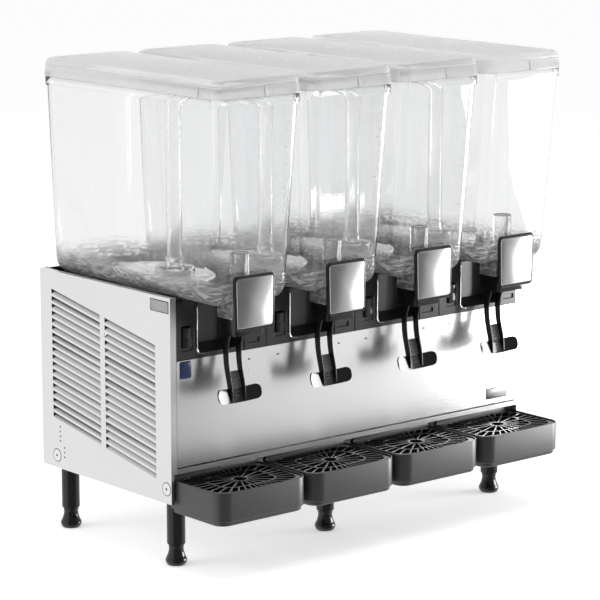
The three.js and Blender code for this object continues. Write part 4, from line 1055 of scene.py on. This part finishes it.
def barrel_mesh():
    """The barrel between the ribs and its two pins."""
    barrel = prism(circle(lever_y, lever_z, BARREL_RADIUS, 28), -BARREL_HALF, BARREL_HALF, sideways)
    pin = prism(circle(lever_y, lever_z, PIN_RADIUS, 20), -PIN_HALF, PIN_HALF, sideways)
    return shaped(barrel, [("UNION", pin)], 0.3 * MM)


rib, insert, pad, barrel = rib_mesh(), insert_mesh(), pad_mesh(), barrel_mesh()
rib_mirror = rib.copy()
rib_mirror.transform(Matrix.Scale(-1, 4, (1, 0, 0)))
rib_mirror.flip_normals()
place_row("lever_pad", pad, black_gloss, "lever", "push_lever", "black_plastic")
for name, mesh, material in (
    ("rib_right", rib, black_gloss), ("rib_left", rib_mirror, black_gloss),
    ("insert", insert, grip_grey), ("barrel", barrel, black_satin),
):
    place_row(f"lever_{name}", mesh, material, "lever", None, "black_plastic")
print("lever pivot at y, z:", round(lever_y, 4), round(lever_z, 4))

# %% [markdown]
# ## The drip trays
# A tray is a deep box with generous front corners, a foot that steps in a little, and a lip along its back
# that hooks over the cabinet's sill. It is moulded in dark grey plastic, neither dull nor glossy.

# %% A tray
tray_z, tray_top_z = leg_z - 17 * MM, leg_z + 40 * MM
tray_front, tray_back = front_y - 118 * MM, front_y + 17 * MM
TRAY_HALF = 94.3 * MM
TRAY_FRONT_CORNER, TRAY_BACK_CORNER = 25 * MM, 9 * MM
HOOK_HALF = 88 * MM
grille_top_z = tray_top_z - 1.8 * MM
grille_low_z = grille_top_z - 3 * MM


def tray_ring(z, inset):
    corners = max(TRAY_FRONT_CORNER - inset, MM), max(TRAY_BACK_CORNER - inset, MM)
    return at_height(round_rect(TRAY_HALF - inset, tray_front + inset, tray_back - inset, *corners, 10), z)


def hook_mesh():
    """The lip over the cabinet's sill, its upper ends rounded."""
    sill_z = leg_z + 34.7 * MM
    inner, outer = tray_back + 2.9 * MM, tray_back + 5.3 * MM
    lip_y, top = tray_back - 2.5 * MM, tray_top_z + 7 * MM
    profile = [(lip_y, sill_z + 0.3 * MM), (inner, sill_z + 0.3 * MM), (inner, sill_z - 4 * MM),
               (outer, sill_z - 4 * MM), (outer, tray_top_z), (tray_back, top), (lip_y, top)]
    ends = round_rect(HOOK_HALF, sill_z - 12 * MM, top, 1 * MM, 6 * MM, 5)
    cutter = prism(ends, tray_back - 10 * MM, tray_back + 20 * MM, facing)
    return shaped(prism(profile, -HOOK_HALF, HOOK_HALF, sideways), [("INTERSECT", cutter)], 0.5 * MM)


def tray_mesh():
    step, floor, ledge = tray_z + 8 * MM, tray_z + 3 * MM, grille_low_z - 0.3 * MM
    foot = [(tray_z + 3 * MM * (1 - math.cos(t)), 4 + 3 * (1 - math.sin(t))) for t in quarter(4)]
    step_in = [(step - 0.8 * MM, 4), (step, 3.2), (step, 0.8)]
    rim = [(-0.8, 0), (-0.2, 0.25), (0, 0.8), (0, 2.1), (-0.5, 2.5)]
    outside = [*foot, *step_in, (step + 0.8 * MM, 0), *((tray_top_z + up * MM, inset) for up, inset in rim)]
    inside = [(ledge, 2.5), (ledge, 4.9), (floor + 3 * MM, 6.5), (floor, 9.5)]
    tub = skin([tray_ring(z, inset * MM) for z, inset in outside + inside])
    return shaped(tub, [("UNION", hook_mesh())])


tray = tray_mesh()
place_row("tray", tray, tray_grey, "tray", "drip_tray", "grey_plastic")
print("tray height:", round(tray_top_z - tray_z, 4))

# %% [markdown]
# ## The drip grilles
# The grille is one moulding: bars spread like rays from a hub, first to a middle ring and then, twice as
# many, to the frame. Cutting each slot with a boolean would be slow. A flat curve with holes does it in
# one go: each slot is a closed spline inside the frame's spline, and the curve's own extrusion and bevel
# give the thickness and the rounded edges that catch the light.

# %% A grille
GRILLE_BARS = 36
BAR = 2.9 * MM
BEVEL, GRILLE_THICKNESS = 0.45 * MM, 3 * MM
HUB_HOLE, HUB = 11 * MM, 15 * MM
RING_X, RING_Y, RING_WIDTH, RIM_WIDTH = 55 * MM, 39 * MM, 3.6 * MM, 5 * MM
INSIDE_TRAY = 2.8 * MM
grille_y = (tray_front + tray_back) / 2


def superellipse(turn, half_x, half_y, power):
    along = (abs(math.cos(turn)) / half_x) ** power
    across = (abs(math.sin(turn)) / half_y) ** power
    return (along + across) ** (-1 / power)


def slot_outline(start, end, inner, outer):
    """A slot between two bars; its sides stay parallel to the bars."""
    def at(turn, side, radius_at):
        shift = side * math.asin(BAR / 2 / radius_at(turn))
        radius = radius_at(turn + shift)
        return (radius * math.cos(turn + shift), radius * math.sin(turn + shift))

    low, high = at(start, 1, outer), at(end, -1, outer)
    first, last = math.atan2(low[1], low[0]), math.atan2(high[1], high[0])
    if last < first:
        last += 2 * math.pi
    between = [first + (last - first) * i / 4 for i in range(1, 4)]
    arc_points = [(outer(t) * math.cos(t), outer(t) * math.sin(t)) for t in between]
    return [at(start, 1, inner), low, *arc_points, high, at(end, -1, inner)]


def grille_mesh():
    half, deep = TRAY_HALF - INSIDE_TRAY, (tray_back - tray_front) / 2 - INSIDE_TRAY

    def hub(turn):
        return HUB

    def ring_in(turn):
        return superellipse(turn, RING_X, RING_Y, 4.0)

    def ring_out(turn):
        return ring_in(turn) + RING_WIDTH

    def rim(turn):
        return superellipse(turn, half - RIM_WIDTH, deep - RIM_WIDTH, 5.0)

    corners = TRAY_FRONT_CORNER - INSIDE_TRAY, TRAY_BACK_CORNER - INSIDE_TRAY
    outlines = [round_rect(half, -deep, deep, *corners, 10), circle(0, 0, HUB_HOLE, 36)]
    for count, inner, outer in ((GRILLE_BARS // 2, hub, ring_in), (GRILLE_BARS, ring_out, rim)):
        step = 2 * math.pi / count
        outlines += [slot_outline(i * step, (i + 1) * step, inner, outer) for i in range(count)]
    mesh = drawn(
        [[(x, y + grille_y, 0) for x, y in outline] for outline in outlines], True,
        dimensions="2D", fill_mode="BOTH", bevel_depth=BEVEL, bevel_resolution=1,
        offset=-BEVEL, extrude=GRILLE_THICKNESS / 2 - BEVEL,
    )
    mesh.transform(Matrix.Translation((0, 0, (grille_top_z + grille_low_z) / 2)))
    return mesh


grille = grille_mesh()
place_row("grille", grille, black_gloss, "grille", "drip_grille", "black_plastic", sharp=50)
print("faces of a grille:", len(grille.polygons))

# %% [markdown]
# ## Legs and feet
# The legs are round black tubes with screw-in bullet feet. The frame's chassis has its leg tubes with few
# sides, so each gets a smooth black sleeve over it, and each foot is turned anew from a curved profile.

# %% Legs and feet
feet = {n: [(a + b) / 2 for a, b in zip(*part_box(f"foot_{n}"))] for n in range(1, 7)}


def foot_mesh():
    """A bullet foot: short neck, flare, bulge and pad."""
    flare = smooth([(12.4, 30), (12.5, 26.5), (13.4, 21.5), (15.4, 15.5), (17.6, 11), (18.4, 8.4)], 5)
    neck = [(13.2, 31.2), (13.2, 34.6), (14.2, 35.6), (15.2, 36.4)]
    foot = [(0.0, 0.0), (14.8, 0.0), (15.6, 0.6), (17.4, 4.0), (18.2, 6.2), *reversed(flare), *neck]
    stem = [(8.7, 36.4), (8.7, 94.0), (0.0, 94.4)]
    return turned([(r * MM, z * MM) for r, z in (*foot, *stem)])


def sleeve_mesh():
    low, high = 36.8 * MM, leg_z - 0.2 * MM
    lip = low + 0.2 * MM
    profile = [(15.0, low), (15.6, low + 0.5 * MM), (15.6, high), (15.28, high), (15.28, lip), (15.0, low)]
    return turned_hollow([(r * MM, z) for r, z in profile])


foot, sleeve = foot_mesh(), sleeve_mesh()
for n, (x, y, _) in feet.items():
    own = f"foot_{n}"
    pieces = ((f"bullet_{own}", foot, own, [own]), (f"leg_tube_{n}", sleeve, "cabinet", None))
    for name, mesh, body, stands_for in pieces:
        obj = place(name, mesh.copy(), black_gloss, body, stands_for, x, "black_plastic")
        obj.data.transform(Matrix.Translation((0, y, 0)))
print("feet at:", [(round(x, 3), round(y, 3)) for x, y, _ in feet.values()])

# %% [markdown]
# ## Rockers and bay trims
# Each module has a rocker in a recess and, to its right, a bay behind the valve with a bright bead down its
# left edge. The rocker's face is a shallow V with soft edges, so that it catches the light in two tones.
# The bead is a curve with a round section: it is quick to draw and bends round the bay's lower corner.

# %% Rockers
rocker_low, rocker_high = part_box("rocker_1")


def rocker_mesh():
    half = (rocker_high.x - rocker_low.x) / 2
    front, back = rocker_low.y, rocker_high.y
    low, high = rocker_low.z, rocker_high.z
    middle = (low + high) / 2
    face = [(0.8, low), (1.6, middle - 2 * MM), (1.9, middle), (1.4, middle + 2 * MM), (0, high)]
    outline = [*((front + deep * MM, z) for deep, z in face), (back, high), (back, low)]
    return shaped(prism(outline, -half, half, sideways), (), 0.9 * MM, 3, 25)


rocker = rocker_mesh()
rocker_x = (rocker_low.x + rocker_high.x) / 2 - centre[1]
place_row("rocker_face", rocker, black_gloss, "rocker", "rocker", "black_plastic", rocker_x)
print("rocker size:", [round(v, 4) for v in rocker_high - rocker_low])

# %% Bay trims
bay_x, bay_z, bay_top_z = -48.4 * MM, leg_z + 246.4 * MM, cabinet_z - 21 * MM
BAY_CORNER, BEAD = 9 * MM, 1.5 * MM
corner = arc(bay_x + BAY_CORNER, bay_z + BAY_CORNER, BAY_CORNER, math.pi, 1.5 * math.pi, 8)
line = [(bay_x, bay_top_z), *corner, (bay_x + 15 * MM, bay_z)]
bead = drawn([[(x, front_y - 0.9 * MM, z) for x, z in line]], False,
             dimensions="3D", bevel_depth=BEAD, bevel_resolution=4, use_fill_caps=True)
place_row("bay_trim", bead, bright_trim, "cabinet", None, "stainless", sharp=60)
print("bay trim from z", round(bay_top_z, 4), "to", round(bay_z, 4))

# %% [markdown]
# ## Small things on the panels
# A plain panel looks like a drawing. The real one has screws, spot welds, breather holes, small bare plates
# and a plain round-cornered label, and each is built as a low solid that stands on the sheet. The dark ring
# round each screw is a painted shadow, and the black discs in the screw heads, for the breather holes and
# for the front panel's slots are painted shade where a recess is dark.

# %% Low solids that stand on a panel
SUNK = 0.2 * MM


def button(radius, height, dome, steps=32):
    """A round head with a soft edge, its axis along Z."""
    edge = min(height, radius) * 0.5
    rim = [(radius - edge * (1 - math.cos(t)), height - edge * (1 - math.sin(t))) for t in quarter(4)]
    crown = [(radius * (0.8 - 0.2 * i), height + dome * (1 - (0.8 - 0.2 * i) ** 2)) for i in range(5)]
    return turned([(0, -SUNK), (radius, -SUNK), *rim, *crown], 0, steps)


def moved(mesh, spot, turn, axis):
    """A copy of a mesh, turned about an axis and moved to a spot."""
    mesh = mesh.copy()
    mesh.transform(Matrix.Translation(spot) @ Matrix.Rotation(turn, 4, axis))
    return mesh


def on_side(mesh, side, y, z):
    """Turns a solid made on the floor so that it stands out of a side panel."""
    return moved(mesh, (side * abs(left_x), y, z), side * math.pi / 2, "Y")


def on_front(mesh, x, z):
    return moved(mesh, (x, front_y, z), math.pi / 2, "X")


def joined(meshes):
    """One mesh from several."""
    shape = bmesh.new()
    for mesh in meshes:
        shape.from_mesh(mesh)
    result = bpy.data.meshes.new("part")
    shape.to_mesh(result)
    shape.free()
    return result


def slab(width, depth, radius, height):
    """A low plate with round corners and a slightly rounded upper edge, standing on the floor."""
    def ring(z, inset):
        outline = round_rect(width / 2 - inset, inset - depth / 2, depth / 2 - inset, radius, radius, 5)
        return at_height(outline, z)
    return skin([ring(-0.1 * MM, 0), ring(height * 0.6, 0), ring(height, height * 0.5)])


# %% Screws, welds and breather holes on the sides, with painted shadow rings and painted shade discs
navy = moulded("navy_label", (0.008, 0.022, 0.080), 0.28, 0.34, 0.00001)
screw = button(10.4 * MM, 0.35 * MM, 0.4 * MM)
# Painted shadow: a flat dark ring round each screw head.
shadow_ring = button(11.7 * MM, 0.12 * MM, 0.0)
# Painted shade: a black disc where each screw's socket is recessed.
socket_shade = button(2.6 * MM, 0.78 * MM, 0.0, 16)
weld = button(2.0 * MM, 0.12 * MM, 0.1 * MM, 16)
# Painted shade: a black disc for the dark inside of each breather hole.
hole = button(1.7 * MM, 0.08 * MM, 0.0, 16)
middle_y = (front_y + back_y) / 2
FROM_MIDDLE = 17.65
screws_at = ((158.3, 137.0), (-152.2, 139.6))
holes_at = [(148.4, 188.8 - 8.3 * i) for i in range(4)] + [(136.4, 153.8 - 8.35 * i) for i in range(3)]
welds_at = [(y, 128.0) for y in (100.0, 54.0, 8.8, -35.8, -81.4)]
kinds = (
    ("screws", screw, screws_at, bright_trim),
    ("shadow_rings", shadow_ring, screws_at, black_satin),
    ("socket_shades", socket_shade, screws_at, black_satin),
    ("welds", weld, welds_at, steel_side),
    ("hole_shades", hole, holes_at, black_satin),
)


def fixed(name, mesh, material):
    """Places a small solid on the cabinet."""
    slot = "black_plastic" if material in (black_satin, black_gloss, navy) else "stainless"
    place(name, mesh, material, "cabinet", None, 0.0, slot)


for side, name in ((-1, "left"), (1, "right")):
    for kind, mesh, spots, material in kinds:
        meshes = [on_side(mesh, side, middle_y + (y - FROM_MIDDLE) * MM, z * MM) for y, z in spots]
        fixed(f"{kind}_{name}", joined(meshes), material)
print("screws at y =", [round(middle_y + (y - FROM_MIDDLE) * MM, 4) for y, _ in screws_at])

# %% Bare plates and a plain label
PLATE_HEIGHT, PLATE_BORDER = 20 * MM, 2.6 * MM


def plate_meshes(width):
    """A low frame and the bare plate that lies in it."""
    frame_slab = slab(width, PLATE_HEIGHT, 1.4 * MM, 0.35 * MM)
    return frame_slab, slab(width - PLATE_BORDER, PLATE_HEIGHT - PLATE_BORDER, 1.0 * MM, 0.6 * MM)


side_place = (-1, front_y + 28.5 * MM, 444 * MM)
for name, mesh, material in zip(("frame", "face"), plate_meshes(48.8 * MM), (black_gloss, plate_steel)):
    mesh.transform(Matrix.Rotation(math.pi / 2, 4, "Z"))
    fixed(f"side_plate_{name}", on_side(mesh, *side_place), material)
for name, mesh, material in zip(("frame", "face"), plate_meshes(52 * MM), (black_gloss, plate_steel)):
    fixed(f"front_plate_{name}", on_front(mesh, 341 * MM, 195 * MM), material)
label = slab(24.2 * MM, 29 * MM, 3.6 * MM, 0.25 * MM)
fixed("plain_label", on_front(label, -367.3 * MM, 338 * MM), navy)
print("plates and label placed")

# %% Small marks on the front panel
# Painted shade: flat black slabs stand where the panel's small slots are dark inside.
slot_shade, dot_mark = slab(5 * MM, 2.6 * MM, 1.2 * MM, 0.1 * MM), button(1.8 * MM, 0.1 * MM, 0.1 * MM, 16)
SLOT_Z, DOT_Z, LABEL_EDGE = 337.6 * MM, 321 * MM, -330 * MM
marks_at = [centre[k] + shift for k in modules for shift in (62 * MM, -73 * MM)]
marks_at = [x for x in marks_at if x > LABEL_EDGE]
fixed("panel_slot_shades", joined([on_front(slot_shade, x, SLOT_Z) for x in marks_at]), black_satin)
fixed("panel_dots", joined([on_front(dot_mark, x, DOT_Z) for x in marks_at]), steel_side)
print("front panel marks:", 2 * len(marks_at))

# %% [markdown]
# ## Marks on the bowls and lids
# Fine level ticks run up the front of each bowl near its right edge, and the lid has two short ribs on its
# skirt and a row of small ovals along its top. They ride on the bowl and the lid, so they lift with them.

# %% Level ticks
mark_grey = moulded("mark_grey", (0.34, 0.35, 0.355), 0.3, 0.4, 0.00001)
TICK_RIGHT, WALL_LEAN = 64 * MM, 0.09


def ticks_mesh():
    """Short raised bars on the front wall, every fifth one longer."""
    bars = []
    for i in range(19):
        z = bowl_z + (48 + 13.5 * i) * MM
        wall_y = front_y - BOWL_FRONT - FRONT_LEAN * height_share(z)
        width = (9 if i % 5 == 0 else 4.5) * MM
        bar = slab(width, 0.9 * MM, 0.3 * MM, 0.25 * MM)
        bars.append(moved(bar, (TICK_RIGHT - width / 2, wall_y, z), math.pi / 2 + WALL_LEAN, "X"))
    return joined(bars)


ticks = ticks_mesh()
place_row("level_ticks", ticks, mark_grey, "bowl", None, "clear_plastic")
print("faces of a bowl's ticks:", len(ticks.polygons))

# %% Lid ribs and ovals
def lid_marks_mesh():
    ovals = []
    for y in (8.0, -44.0, -91.0, -116.0, -172.0):
        oval = slab(4.2 * MM, 8 * MM, 2 * MM, 0.12 * MM)
        oval.transform(Matrix.Translation((4 * MM, front_y + (183 + y) * MM, lid_top_z - 0.1 * MM)))
        ovals.append(oval)
    return joined(ovals)


def lid_ribs_mesh():
    """Two short ribs that stand on the skirt."""
    low, high = lid_z + 1.5 * MM, lid_groove_z - 1 * MM
    front = [(front_y - out * MM, z) for out, z in ((111.6, low), (108.9, high), (107, high), (109, low))]
    side = [(-out * MM, z) for out, z in ((91.6, low), (88.9, high), (87, high), (89, low))]
    return joined([
        prism(front, 7 * MM, 8 * MM, sideways),
        prism(side, front_y - 62.5 * MM, front_y - 61.5 * MM, facing),
    ])


lid_marks, lid_ribs = lid_marks_mesh(), lid_ribs_mesh()
place_row("lid_marks", lid_marks, mark_grey, "lid", None, "clear_plastic")
place_row("lid_ribs", lid_ribs, mark_grey, "lid", None, "clear_plastic")
print("lid marks and ribs placed")

# %% [markdown]
# ## Render settings
# The bowls' nested clear walls need many bounces, so the path limits are raised. The finished
# model has to stay inside the CAD model's own box.

# %% Finish
scene.cycles.max_bounces = 40
scene.cycles.transmission_bounces = 36
scene.cycles.transparent_max_bounces = 24
